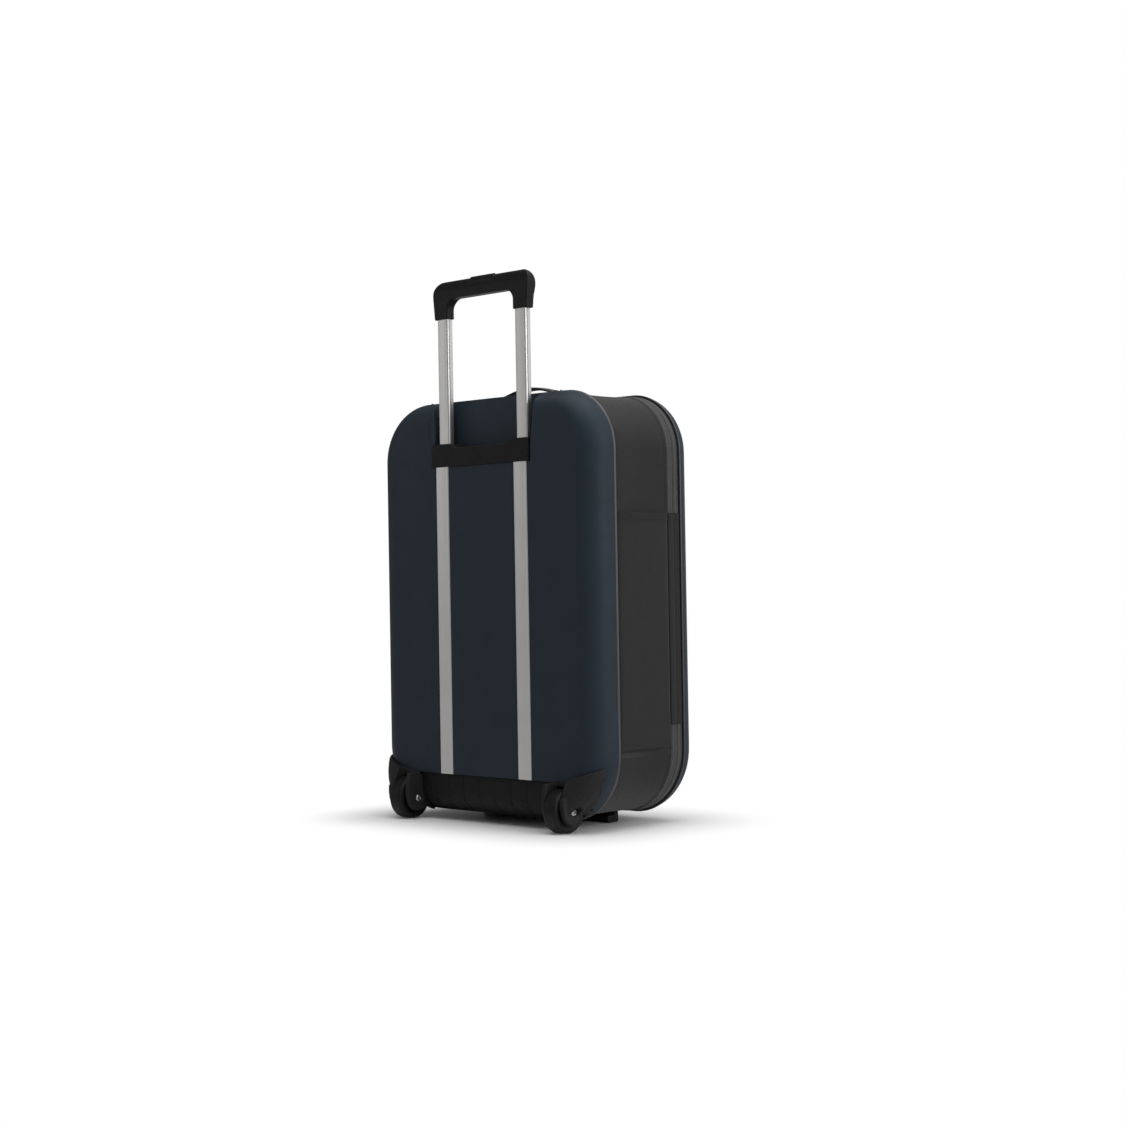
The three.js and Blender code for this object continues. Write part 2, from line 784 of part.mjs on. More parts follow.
const sliderHalf = 6.8;
const pivotOffset = 4.5;
addPiece('zip_slider_upper', zipSlider(
  sliderMeet + sliderHalf, sliderMeet + sliderHalf + pivotOffset,
), steel());
addPiece('zip_slider_lower', zipSlider(
  sliderMeet - sliderHalf, sliderMeet - sliderHalf - pivotOffset,
), steel());
addPiece('pull_tab_upper', pullTab(sliderMeet + sliderHalf + pivotOffset), steel());
addPiece('pull_tab_lower', pullTab(sliderMeet - sliderHalf - pivotOffset), steel());

suitcase.position.y = -depthMiddle;

export default suitcase;
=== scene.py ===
# %% [markdown]
# A cabin suitcase stands on its two wheels and a foot, with the trolley pulled out.
# Two shallow hard shells are joined by a deep ring of fabric, so only the back and the
# lid are hard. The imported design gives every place, size and joint. This script dresses
# it: each piece gets its fine surface and its finish, and rides on the body it belongs to.

import math

import bmesh
import bpy
import numpy as np
from mathutils import Matrix, Vector


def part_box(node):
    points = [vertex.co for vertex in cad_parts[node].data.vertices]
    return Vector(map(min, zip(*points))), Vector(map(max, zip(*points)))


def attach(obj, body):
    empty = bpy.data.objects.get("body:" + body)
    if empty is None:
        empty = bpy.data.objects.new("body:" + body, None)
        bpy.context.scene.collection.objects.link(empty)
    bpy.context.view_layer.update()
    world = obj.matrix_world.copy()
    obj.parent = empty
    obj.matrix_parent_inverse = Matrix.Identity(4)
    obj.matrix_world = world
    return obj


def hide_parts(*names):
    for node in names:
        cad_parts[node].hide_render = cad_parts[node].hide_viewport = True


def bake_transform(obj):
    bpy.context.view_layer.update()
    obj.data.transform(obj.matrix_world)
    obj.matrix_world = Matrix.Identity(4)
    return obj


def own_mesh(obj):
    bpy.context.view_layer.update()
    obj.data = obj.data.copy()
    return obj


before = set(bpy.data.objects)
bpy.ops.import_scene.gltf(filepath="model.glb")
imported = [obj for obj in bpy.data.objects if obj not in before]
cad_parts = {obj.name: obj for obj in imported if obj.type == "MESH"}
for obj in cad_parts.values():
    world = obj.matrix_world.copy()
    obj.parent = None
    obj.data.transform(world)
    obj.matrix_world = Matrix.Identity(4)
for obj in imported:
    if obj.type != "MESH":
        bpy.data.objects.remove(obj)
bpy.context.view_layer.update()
MM = 0.001


# %% places in millimetres
def span(node):
    """Lowest and highest corner of a design node, in millimetres."""
    low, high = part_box(node)
    return np.array(low) / MM, np.array(high) / MM


BACK = span("rail_right")[0][1]            # the plane of the back face
HALF_WIDTH = span("back_shell")[1][0]
TOP = span("back_shell")[1][2]
BOTTOM = span("back_shell")[0][2]
TUBE_X = float((span("rail_right")[0][0] + span("rail_right")[1][0]) / 2)
TOP_CORNER = 78                            # corner radii of the case seen from the back
BOTTOM_CORNER = 86
EDGE = 31                                  # rounding from a flat face to the sides
WALL = 2.4
print("half width", round(HALF_WIDTH, 1), "top", round(TOP, 1), "tubes at", round(TUBE_X, 1))

# %% [markdown]
# The camera stands low behind the case, on the hinge side, and looks a little along it.
# A long lens keeps the upright edges almost parallel. The studio is a pale sweep with one
# broad lamp overhead, one out on the hinge side and a weak fill on the far side, so that
# black plastic stays black and the rounded edges catch a soft light.

# %% camera
EYE = Vector((1.8673, -1.7946 + BACK * MM, 0.3114))
YAW, PITCH, ROLL = 0.7651, 0.0100, -0.0168
LENS = 64.2


def camera_axes(yaw, pitch, roll):
    """Forward, right and up of a camera that has been turned, tipped and rolled."""
    forward = Vector((-math.sin(yaw) * math.cos(pitch), math.cos(yaw) * math.cos(pitch), math.sin(pitch)))
    level = Vector((math.cos(yaw), math.sin(yaw), 0))
    above = level.cross(forward)
    right = level * math.cos(roll) + above * math.sin(roll)
    up = above * math.cos(roll) - level * math.sin(roll)
    return forward, right, up


forward, right, up = camera_axes(YAW, PITCH, ROLL)
camera = bpy.data.objects.new("camera", bpy.data.cameras.new("camera"))
camera.data.lens = LENS
camera.data.sensor_width = 36
camera.matrix_world = Matrix.LocRotScale(
    EYE, Matrix((right, up, -forward)).transposed().to_quaternion(), None
)
bpy.context.scene.collection.objects.link(camera)
bpy.context.scene.camera = camera
bpy.context.scene.view_settings.view_transform = "Standard"


# %% colours and nodes
def linear(code):
    """A hex colour as the linear values that a shader takes."""
    parts = [int(code[i:i + 2], 16) / 255 for i in (1, 3, 5)]
    return (*[v / 12.92 if v <= 0.04045 else ((v + 0.055) / 1.055) ** 2.4 for v in parts], 1)


def add(tree, kind, settings=None, **sockets):
    """Adds a node. A socket is given by its name with _ for a space, or as n0, n1 by its place."""
    made = tree.nodes.new(kind)
    for key, value in (settings or {}).items():
        setattr(made, key, value)
    for key, value in sockets.items():
        placed = key[0] == "n" and key[1:].isdigit()
        socket = made.inputs[int(key[1:])] if placed else made.inputs[key.replace("_", " ")]
        if isinstance(value, bpy.types.NodeSocket):
            tree.links.new(value, socket)
        else:
            socket.default_value = value
    return made


def new_finish(name):
    """A material with its shader, and the Object coordinates in millimetres."""
    made = bpy.data.materials.new(name)
    made.use_nodes = True
    tree = made.node_tree
    shader = tree.nodes["Principled BSDF"]
    place = add(tree, "ShaderNodeTexCoord")
    in_mm = add(tree, "ShaderNodeVectorMath", {"operation": "SCALE"}, n0=place.outputs["Object"])
    in_mm.inputs["Scale"].default_value = 1 / MM
    return made, tree, shader, in_mm.outputs[0]


def mottle(tree, place, grain, dark, light, detail=3.0):
    """Two near colours mixed by soft noise whose spots are grain millimetres across."""
    noise = add(tree, "ShaderNodeTexNoise", None, Vector=place, Scale=1 / grain, Detail=detail)
    mix = add(tree, "ShaderNodeMix", {"data_type": "RGBA"}, n0=noise.outputs["Fac"])
    mix.inputs[6].default_value = linear(dark)
    mix.inputs[7].default_value = linear(light)
    return mix.outputs[2]


def ranged(tree, value, taken, given, kind="LINEAR"):
    """Maps a value from the range it is taken from to the range it is given in."""
    made = add(tree, "ShaderNodeMapRange", {"interpolation_type": kind}, Value=value)
    for key, number in zip(("From Min", "From Max", "To Min", "To Max"), (*taken, *given)):
        made.inputs[key].default_value = number
    return made.outputs[0]


def spread(tree, value, low, high):
    """Stretches a noise value from its usual 0.3 to 0.7 over low to high."""
    return ranged(tree, value, (0.3, 0.7), (low, high))


def relief(tree, shader, height, depth):
    """Bump of the given depth in millimetres."""
    bump = add(tree, "ShaderNodeBump", None, Height=height, Distance=depth * MM, Strength=1.0)
    tree.links.new(bump.outputs[0], shader.inputs["Normal"])


# %% [markdown]
# Moulded finishes differ mostly in grain size, gloss and how dark they are, so one recipe
# serves them: a faint mottle, gloss that wanders a little, and the grain of the steel mould
# as bump. Metals take the same recipe with a stretched grain for their drawing lines.

# %% moulded and metal finishes
def moulded(name, dark, light, gloss, grain, depth, ior=1.5, metal=0.0, level=0.5, stretch=(1, 1, 1)):
    """A moulded or drawn finish. gloss is the roughness range; grain and depth are in millimetres."""
    made, tree, shader, place = new_finish(name)
    scaled = add(tree, "ShaderNodeMapping", None, Vector=place, Scale=stretch)
    where = scaled.outputs[0]
    tree.links.new(mottle(tree, place, 40, dark, light), shader.inputs["Base Color"])
    wander = add(tree, "ShaderNodeTexNoise", None, Vector=where, Scale=1 / (grain * 12), Detail=2.0)
    tree.links.new(spread(tree, wander.outputs["Fac"], *gloss), shader.inputs["Roughness"])
    fine = add(tree, "ShaderNodeTexNoise", None, Vector=where, Scale=1 / grain, Detail=2.0)
    relief(tree, shader, fine.outputs["Fac"], depth)
    shader.inputs["Metallic"].default_value = metal
    shader.inputs["Specular IOR Level"].default_value = level
    if not metal:
        shader.inputs["IOR"].default_value = ior
    return made


# Thermoformed ABS, grained by the mould: dark navy, matt, with a soft broad shine on edges.
# The grain is about 0.5 mm on the sheet and is drawn at 0.9 mm so that it shows.
SHELL = moulded("abs_shell_grained", "#212a32", "#26313b", (0.46, 0.54), 0.9, 0.035, ior=1.53, level=0.14)
# Soft PVC cord, extruded: dark grey, satin, smooth along its length.
PIPING = moulded("pvc_piping_satin", "#333236", "#3d3c41", (0.32, 0.40), 1.4, 0.02, ior=1.53, level=0.5)
# Nylon injection-moulded against spark-eroded steel: near black, fine even speckle.
NYLON = moulded("nylon_spark_texture", "#101010", "#151515", (0.42, 0.52), 0.8, 0.04, level=0.16)
# The wheel housings are the same nylon with a duller finish, painted a lighter grey as painted light that
# stands in for the light their cheeks catch.
HOUSING_PAINTED_LIGHT = moulded("nylon_dull_painted_light", "#1f1f1f", "#252525", (0.50, 0.60), 0.9, 0.05, level=0.16)
# The base plate is the same nylon with a coarser, duller texture, so it reads greyer.
BASE = moulded("nylon_base_texture", "#151515", "#1a1a1a", (0.55, 0.65), 1.0, 0.06, level=0.15)
# Soft-touch coat over the grip: black, velvety, with a broad dim highlight.
GRIP = moulded("soft_touch_coat", "#080808", "#0c0c0c", (0.40, 0.48), 0.8, 0.03, level=0.22)
# Cast polyurethane tread: matt black, an even faint mottle a little above pure black.
TYRE = moulded("polyurethane_tread", "#0c0c0c", "#121212", (0.42, 0.54), 1.2, 0.04, level=0.2)
HUB = moulded("nylon_wheel_centre", "#0b0b0b", "#101010", (0.45, 0.55), 0.9, 0.04, level=0.15)
# Zinc-plated steel: bright, a little cloudy.
STEEL = moulded("zinc_plated_steel", "#9a9a98", "#b8b8b6", (0.22, 0.34), 0.8, 0.01, metal=1.0)
# Drawn, brushed and anodised aluminium: pale silver, lines run along the tube.
ANODISED = moulded(
    "anodised_aluminium_brushed", "#c9c8c6", "#d6d5d3", (0.34, 0.42), 0.5, 0.012, metal=1.0,
    stretch=(1, 1, 0.02),
)
# Die-cast zinc with dark nickel plate: smoky grey, softly shiny.
ZINC = moulded("dark_nickel_zinc", "#3c3c3e", "#4a4a4c", (0.25, 0.36), 0.9, 0.015, metal=1.0)
# Nylon monofilament of the zip coil, and spun polyester thread.
COIL = moulded("nylon_coil", "#2a2a2a", "#333333", (0.35, 0.45), 0.6, 0.01, level=0.4)
THREAD = moulded("polyester_thread", "#1b1b1b", "#262626", (0.6, 0.7), 0.5, 0.02, level=0.3)


# %% [markdown]
# Woven goods carry a UV map in metres along and across the cloth, so the threads follow
# each piece. Two crossed sine waves make the over and under of a plain weave; a second
# noise makes some threads thicker. Real threads are 0.4 to 0.6 mm apart, which would not
# show, so they are drawn at 1.4 mm or more.

# %% woven finishes
def woven(name, dark, light, along, across, depth, gloss=(0.72, 0.84), sheen=0.15, level=0.2):
    """A woven finish; along and across are the thread spacings in millimetres."""
    made, tree, shader, place = new_finish(name)
    chart = add(tree, "ShaderNodeUVMap", {"uv_map": "cloth"})
    split = add(tree, "ShaderNodeSeparateXYZ", None, Vector=chart.outputs[0])
    waves = []
    for axis, spacing in ((0, along), (1, across)):
        turn = add(
            tree, "ShaderNodeMath", {"operation": "MULTIPLY"},
            n0=split.outputs[axis], n1=math.pi / (spacing * MM),
        )
        waves.append(add(tree, "ShaderNodeMath", {"operation": "SINE"}, n0=turn.outputs[0]).outputs[0])
    weave = add(tree, "ShaderNodeMath", {"operation": "MULTIPLY"}, n0=waves[0], n1=waves[1])
    slub = add(tree, "ShaderNodeTexNoise", None, Vector=place, Scale=1 / 3.0, Detail=3.0)
    height = add(tree, "ShaderNodeMath", {"operation": "ADD"}, n0=weave.outputs[0], n1=slub.outputs["Fac"])
    relief(tree, shader, height.outputs[0], depth)
    base = mottle(tree, place, 25, dark, light, 4.0)
    # The weave height also scales the colour: darker in its hollows and lighter on its crossings, as painted
    # shade and painted highlight.
    weave_painted_shade = ranged(tree, weave.outputs[0], (-1, 1), (0.86, 1.08))
    weave_shaded_colour = add(tree, "ShaderNodeVectorMath", {"operation": "SCALE"}, n0=base)
    tree.links.new(weave_painted_shade, weave_shaded_colour.inputs["Scale"])
    tree.links.new(weave_shaded_colour.outputs[0], shader.inputs["Base Color"])
    tree.links.new(spread(tree, slub.outputs["Fac"], *gloss), shader.inputs["Roughness"])
    shader.inputs["Sheen Weight"].default_value = sheen
    shader.inputs["Sheen Roughness"].default_value = 0.5
    shader.inputs["Specular IOR Level"].default_value = level
    return made


# Dense plain-weave polyester, 600 denier, coated inside: charcoal and flat.
CANVAS = woven("polyester_canvas", "#1f1f1f", "#242424", 1.5, 1.5, 0.10, level=0.1)
# Woven zip tape, herringbone rows along its edge: mid grey.
TAPE = woven("zip_tape_weave", "#3b3b3b", "#444444", 2.4, 1.2, 0.12, level=0.15)
# Nylon webbing with ribs across the strap: black with a dry sheen.
WEBBING = woven("nylon_webbing", "#121212", "#1a1a1a", 2.2, 1.6, 0.18, sheen=0.25)
# Thin lining polyester: slate grey, slightly shiny, fine weave.
LINING = woven("lining_polyester", "#33383f", "#3b4148", 1.2, 1.2, 0.05, gloss=(0.5, 0.62))


# %% studio
FLOOR_RADIUS = 14.0                        # metres
SHADED_HALF = (150, 70, 0)                 # half size, in mm, of the patch that takes the shadow
GLOW_FADE = (4, 170)                       # mm beyond that patch over which the glow sets in
FLOOR_LIGHT = 0.55                         # how bright the glow is as a light for the case


def stage_floor():
    """A pale floor; away from the case it glows evenly, as a lit sweep does."""
    mesh = bpy.data.meshes.new("floor")
    turn = np.linspace(0, 2 * math.pi, 64, False)
    ring = [(FLOOR_RADIUS * math.cos(a), FLOOR_RADIUS * math.sin(a), 0) for a in turn]
    mesh.from_pydata(ring, [], [tuple(range(64))])
    floor = bpy.data.objects.new("floor", mesh)
    bpy.context.scene.collection.objects.link(floor)
    made, tree, shader, place = new_finish("white_sweep")
    shader.inputs["Base Color"].default_value = linear("#f4f4f4")
    shader.inputs["Roughness"].default_value = 0.32
    shader.inputs["Specular IOR Level"].default_value = 0.35
    folded = add(tree, "ShaderNodeVectorMath", {"operation": "ABSOLUTE"}, n0=place)
    beyond = add(
        tree, "ShaderNodeVectorMath", {"operation": "SUBTRACT"}, n0=folded.outputs[0], n1=SHADED_HALF,
    )
    past = add(tree, "ShaderNodeVectorMath", {"operation": "MAXIMUM"}, n0=beyond.outputs[0], n1=(0, 0, 0))
    far = add(tree, "ShaderNodeVectorMath", {"operation": "LENGTH"}, n0=past.outputs[0])
    fade = ranged(tree, far.outputs["Value"], GLOW_FADE, (0, 1), "SMOOTHSTEP")
    glow = add(tree, "ShaderNodeEmission", None, Color=(1, 1, 1, 1), Strength=1.0)
    seen = add(tree, "ShaderNodeLightPath")
    dim = add(
        tree, "ShaderNodeMath", {"operation": "MAXIMUM"}, n0=seen.outputs["Is Camera Ray"], n1=FLOOR_LIGHT,
    )
    tree.links.new(dim.outputs[0], glow.inputs["Strength"])
    blend = add(tree, "ShaderNodeMixShader", None, n0=fade, n1=shader.outputs[0], n2=glow.outputs[0])
    tree.links.new(blend.outputs[0], tree.nodes["Material Output"].inputs["Surface"])
    mesh.materials.append(made)


def lamp(name, place, target, size, power):
    """A square soft lamp that faces a target. Places are in metres."""
    data = bpy.data.lights.new(name, "AREA")
    data.shape = "RECTANGLE"
    data.size, data.size_y = size
    data.energy = power
    lit = bpy.data.objects.new(name, data)
    lit.location = place
    aim = Vector(target) - Vector(place)
    lit.rotation_euler = aim.to_track_quat("-Z", "Y").to_euler()
    bpy.context.scene.collection.objects.link(lit)


BRIGHT_SIDE = (0.8, 0.6, 0.1)              # the way to the bright part of the surround


def sky(low, high):
    """The surround: white to the eye. As a light it is bright beyond the hinge side, dim behind the case."""
    world = bpy.data.worlds.new("studio")
    bpy.context.scene.world = world
    world.use_nodes = True
    tree = world.node_tree
    way = add(tree, "ShaderNodeTexCoord")
    facing = add(
        tree, "ShaderNodeVectorMath", {"operation": "DOT_PRODUCT"},
        n0=way.outputs["Generated"], n1=BRIGHT_SIDE,
    )
    level = ranged(tree, facing.outputs["Value"], (-0.4, 0.9), (low, high), "SMOOTHSTEP")
    seen = add(tree, "ShaderNodeLightPath")
    shown = add(
        tree, "ShaderNodeMath", {"operation": "MAXIMUM"}, n0=seen.outputs["Is Camera Ray"], n1=level,
    )
    tree.nodes["Background"].inputs["Color"].default_value = (1, 1, 1, 1)
    tree.links.new(shown.outputs[0], tree.nodes["Background"].inputs["Strength"])


stage_floor()
sky(0.10, 0.85)
lamp("overhead", (0.3, -0.3, 2.6), (0, 0, 0), (2.6, 2.6), 50)
lamp("hinge_side", (2.5, 0.2, 1.1), (0, 0, 0.35), (1.4, 1.8), 24)
lamp("far_fill", (-2.2, -1.8, 1.2), (0, 0, 0.35), (1.2, 1.6), 5)

# %% [markdown]
# Every surface below is built from rows of points. Five helpers do the work: one makes
# a mesh object, one joins rows into faces, one runs a cross-section round the case, one
# turns a profile about an axle, and one skins a solid that is given as a formula.


# %% mesh helpers
SHARP = 38                                 # faces that meet at a larger angle keep a crisp edge


def grid_faces(rows, columns, round_rows=False, round_columns=False):
    """Quads that join a grid of points, row after row."""
    i, j = np.meshgrid(
        np.arange(rows if round_rows else rows - 1),
        np.arange(columns if round_columns else columns - 1), indexing="ij",
    )
    i, j = i.ravel(), j.ravel()
    down, across = (i + 1) % rows, (j + 1) % columns
    return np.stack([i * columns + j, i * columns + across, down * columns + across, down * columns + j], 1)


def clean(mesh, merge=1e-6, outward=True):
    """Merges doubled points and turns every face of a closed mesh outwards."""
    work = bmesh.new()
    work.from_mesh(mesh)
    bmesh.ops.remove_doubles(work, verts=work.verts, dist=merge)
    if outward:
        bmesh.ops.recalc_face_normals(work, faces=work.faces)
    work.to_mesh(mesh)
    work.free()


def made_piece(name, points, faces, finish, cloth=None, sharp=SHARP, outward=True):
    """A mesh piece from points in millimetres. cloth gives each point's place on the flat fabric."""
    mesh = bpy.data.meshes.new(name)
    listed = faces.tolist() if isinstance(faces, np.ndarray) else faces
    mesh.from_pydata((np.asarray(points, float) * MM).tolist(), [], listed)
    if cloth is not None:
        chart = mesh.uv_layers.new(name="cloth")
        corners = np.zeros(len(mesh.loops), np.int32)
        mesh.loops.foreach_get("vertex_index", corners)
        chart.data.foreach_set("uv", (np.asarray(cloth, float)[corners] * MM).ravel())
    clean(mesh, outward=outward)
    mesh.shade_smooth()
    mesh.set_sharp_from_angle(angle=math.radians(sharp))
    obj = bpy.data.objects.new(name, mesh)
    bpy.context.scene.collection.objects.link(obj)
    mesh.materials.append(finish)
    return obj


def settle(obj):
    """Applies the piece's modifiers to its mesh."""
    graph = bpy.context.evaluated_depsgraph_get()
    graph.update()
    mesh = bpy.data.meshes.new_from_object(obj.evaluated_get(graph))
    obj.modifiers.clear()
    obj.data = mesh
    return obj


def place(obj, body, slot, *nodes):
    """The piece rides on a body and stands for design nodes. The slot is not used."""
    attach(obj, body)
    if nodes:
        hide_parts(*nodes)
    print(f"{obj.name}: {len(obj.data.polygons)} faces on {body}")
    return obj


def thicken(obj, thickness):
    """Gives an open surface a wall on the side away from its faces."""
    wall = obj.modifiers.new("wall", "SOLIDIFY")
    wall.thickness = thickness * MM
    wall.offset = -1
    settle(obj)
    clean(obj.data)
    obj.data.shade_smooth()
    obj.data.set_sharp_from_angle(angle=math.radians(SHARP))
    return obj


# %% the case outline
def outline_at(s, inset=0.0):
    """Points x, z at arc length s round the case, from the foot of the +X side, and outward normals."""
    w, t, b = HALF_WIDTH, TOP, BOTTOM
    up_c, low_c = TOP_CORNER, BOTTOM_CORNER
    side = (t - up_c) - (b + low_c)
    quarter = math.pi / 2
    parts = [
        ("line", (w, b + low_c), (0, 1), side), ("arc", (w - up_c, t - up_c), up_c, 0.0),
        ("line", (w - up_c, t), (-1, 0), 2 * (w - up_c)), ("arc", (up_c - w, t - up_c), up_c, quarter),
        ("line", (-w, t - up_c), (0, -1), side), ("arc", (low_c - w, b + low_c), low_c, 2 * quarter),
        ("line", (low_c - w, b), (1, 0), 2 * (w - low_c)),
        ("arc", (w - low_c, b + low_c), low_c, 3 * quarter),
    ]
    s = np.asarray(s, float)
    total = sum(p[3] if p[0] == "line" else p[2] * quarter for p in parts)
    rest = np.mod(s, total)
    points, normals = np.zeros((len(s), 2)), np.zeros((len(s), 2))
    start = 0.0
    for kind, origin, detail, amount in parts:
        length = amount if kind == "line" else detail * quarter
        here = (rest >= start - 1e-9) & (rest < start + length)
        along = (rest - start)[here]
        if kind == "line":
            points[here] = np.array(origin) + np.outer(along, detail)
            normals[here] = (detail[1], -detail[0])
        else:
            angle = amount + along / detail
            normals[here] = np.stack([np.cos(angle), np.sin(angle)], 1)
            points[here] = np.array(origin) + detail * normals[here]
        start += length
    return points - normals * inset, normals, total


PERIMETER = outline_at([0.0])[2]
print("the way round the case is", round(PERIMETER), "mm")


def depth_inside(x, z):
    """How far a point is inside the outline, seen from the back."""
    upper = z > (TOP + BOTTOM) / 2
    corner = np.where(upper, TOP_CORNER, BOTTOM_CORNER)
    past_x = np.abs(x) - (HALF_WIDTH - corner)
    past_z = np.where(upper, z - (TOP - corner), (BOTTOM + corner) - z)
    out = np.hypot(np.maximum(past_x, 0), np.maximum(past_z, 0))
    return corner - out - np.minimum(np.maximum(past_x, past_z), 0)


def dish(inside, edge=EDGE):
    """Depth below the flat face of a quarter-round edge, at a distance inside the outline."""
    short = np.clip(edge - inside, 0, edge)
    return edge - np.sqrt(np.maximum(edge * edge - short * short, 0))


def round_case(name, profile, finish, step=4.0, start=0.0, end=None, wave=None):
    """Runs a closed section round the case. The section holds (inset, y) pairs; y is the row's."""
    whole = end is None
    span_s = PERIMETER if whole else end - start
    count = max(8, int(span_s / step))
    s = np.linspace(start, start + span_s, count, endpoint=not whole)
    section = np.array(profile, float)
    edge_points, normals, _ = outline_at(s)
    inset = np.repeat(section[None, :, 0], count, 0)
    if wave is not None:
        inset = inset + wave(s[:, None], section[None, :, 1])
    xz = edge_points[:, None, :] - normals[:, None, :] * inset[:, :, None]
    y = np.repeat(section[None, :, 1], count, 0)
    points = np.stack([xz[..., 0], y, xz[..., 1]], 2).reshape(-1, 3)
    width = len(section)
    faces = grid_faces(count, width, round_rows=whole, round_columns=True).tolist()
    if not whole:
        faces += [list(range(width))[::-1], list(range((count - 1) * width, count * width))]
    cloth = np.stack([np.repeat(s, width), np.tile(section[:, 1], count)], 1)
    return made_piece(name, points, faces, finish, cloth)


def strip_section(inset, y0, y1, thickness, steps=12, bow=0.0, edge=0.35):
    """A flat strip's closed section: outer face from y0 to y1, bowed inwards, then the inner face."""
    t = np.linspace(0, 1, steps + 1)
    y = y0 + (y1 - y0) * t
    hollow = bow * np.sin(math.pi * t)
    ease = edge * (np.abs(2 * t - 1) ** 12)
    outer = [(inset + h + e, v) for h, e, v in zip(hollow, ease, y)]
    inner = [(inset + h + thickness, v) for h, v in zip(hollow[::-1], y[::-1])]
    return outer + inner


def turned(name, profile, centre, finish, segments=96, hexed=0):
    """A profile of (radius, x) pairs turned about a line along x. The first hexed points follow a hexagon."""
    angle = np.linspace(0, 2 * math.pi, segments, endpoint=False)
    corner = np.mod(angle, math.pi / 3) - math.pi / 6
    rows = []
    for index, (radius, along) in enumerate(profile):
        reach = radius * (1 / np.cos(corner) if index < hexed else 1)
        rows.append(np.stack([np.full(segments, along), reach * np.cos(angle), reach * np.sin(angle)], 1))
    points = np.concatenate(rows) + np.array(centre)
    ring = profile[0][0] > 0 and profile[-1][0] > 0
    faces = grid_faces(len(profile), segments, round_rows=ring, round_columns=True)
    return made_piece(name, points, faces, finish)


# %% solids from a formula
def round_max(a, b, radius):
    """The larger of two fields with the edge where they meet rounded."""
    near = np.maximum(radius - np.abs(a - b), 0) / max(radius, 1e-9)
    return np.maximum(a, b) + near * near * radius / 4


def box_field(x, y, z, low, high, radius=0.0):
    """Distance to a box; negative inside."""
    sides = [np.abs(v - (a + b) / 2) - (b - a) / 2 + radius for v, a, b in zip((x, y, z), low, high)]
    out = np.sqrt(sum(np.maximum(side, 0) ** 2 for side in sides))
    return out + np.minimum(np.maximum(np.maximum(sides[0], sides[1]), sides[2]), 0) - radius


def skin(name, field, low, high, step, finish, sharp=60):
    """Skins the place where field(x, y, z) is zero with quads about step millimetres wide."""
    axes = [np.arange(a - 2 * step, b + 2 * step, step) for a, b in zip(low, high)]
    x, y, z = np.meshgrid(*axes, indexing="ij")
    value = field(x, y, z)
    size = np.array(value.shape)
    cells = size - 1
    total, count = np.zeros((*cells, 3)), np.zeros(cells)
    edges = []
    for axis in range(3):
        side, other = (axis + 1) % 3, (axis + 2) % 3
        a = np.take(value, range(size[axis] - 1), axis)
        b = np.take(value, range(1, size[axis]), axis)
        cross = (a < 0) != (b < 0)
        where = np.stack(np.indices(a.shape), -1).astype(float)
        where[..., axis] += np.where(cross, a / np.where(cross, a - b, 1), 0)
        for i in (0, 1):
            for j in (0, 1):
                pick = [slice(None)] * 3
                pick[side] = slice(i, i + cells[side])
                pick[other] = slice(j, j + cells[other])
                total += where[tuple(pick)] * cross[tuple(pick)][..., None]
                count += cross[tuple(pick)]
        edges.append((axis, side, other, np.argwhere(cross), (a < 0)[cross]))
    number = np.full(cells, -1)
    number[count > 0] = np.arange(int((count > 0).sum()))
    points = total[count > 0] / count[count > 0][:, None] * step + np.array([v[0] for v in axes])
    quads = []
    for axis, side, other, where, rising in edges:
        corners = []
        for i, j in ((1, 1), (0, 1), (0, 0), (1, 0)):
            cell = where.copy()
            cell[:, side] -= i
            cell[:, other] -= j
            corners.append(number[tuple(cell.T)])
        quad = np.stack(corners, 1)
        quad[~rising] = quad[~rising][:, ::-1]
        quads.append(quad)
    return made_piece(name, points, np.concatenate(quads), finish, sharp=sharp, outward=False)


def refined(node, name, body, slot, finish, bevel=0.6, segments=2, sharp=40):
    """A design node whose shape is right, with its edges broken as a mould or a file leaves them."""
    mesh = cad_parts[node].data.copy()
    obj = bpy.data.objects.new(name, mesh)
    bpy.context.scene.collection.objects.link(obj)
    work = bmesh.new()
    work.from_mesh(mesh)
    bmesh.ops.remove_doubles(work, verts=work.verts, dist=1e-6)
    bmesh.ops.dissolve_limit(work, angle_limit=math.radians(1), verts=work.verts, edges=work.edges)
    work.to_mesh(mesh)
    work.free()
    mesh.materials.clear()
    mesh.materials.append(finish)
    if bevel:
        soft = obj.modifiers.new("edges", "BEVEL")
        soft.width = bevel * MM
        soft.segments = segments
        soft.limit_method = "ANGLE"
        soft.angle_limit = math.radians(35)
        settle(obj)
    obj.data.shade_smooth()
    obj.data.set_sharp_from_angle(angle=math.radians(sharp))
    return place(obj, body, slot, node)


# %% [markdown]
# The back shell is one thermoformed sheet. Seen from behind, every hollow in it is a depth
# below the flat back: the rounded edge, the scoop for the grip, two grooves for the rails,
# the step behind the base plate and the wheel wells. So it is built as a field of depths,
# on rows and columns that crowd together at each edge, and then given its wall.

# %% back shell
RIM = span("back_shell")[1][1]
GROOVE_HALF = 12.1
SCOOP_HALF = 90
FLARE_FROM, FLARE_HEIGHT = 515, 48
SCOOP_BOTTOM = span("tube_bracket")[0][2] - 0.3
BRACKET_TOP = span("tube_bracket")[1][2]
BASE_TOP = span("base_plate")[1][2] + 0.3
BASE_HALF = span("base_plate")[1][0] + 0.3
WHEEL_X = float((span("tyre_right")[0][0] + span("tyre_right")[1][0]) / 2)
WHEEL_R = float(span("tyre_right")[1][2] / 2)
AXLE_Y = float((span("tyre_right")[0][1] + span("tyre_right")[1][1]) / 2) - BACK


def bead(u, radius):
    """Depth of a rounded lip: radius at the wall, falling to nothing on the flat."""
    short = np.clip(radius - u, 0, radius)
    return radius - np.sqrt(np.maximum(radius * radius - short * short, 0))


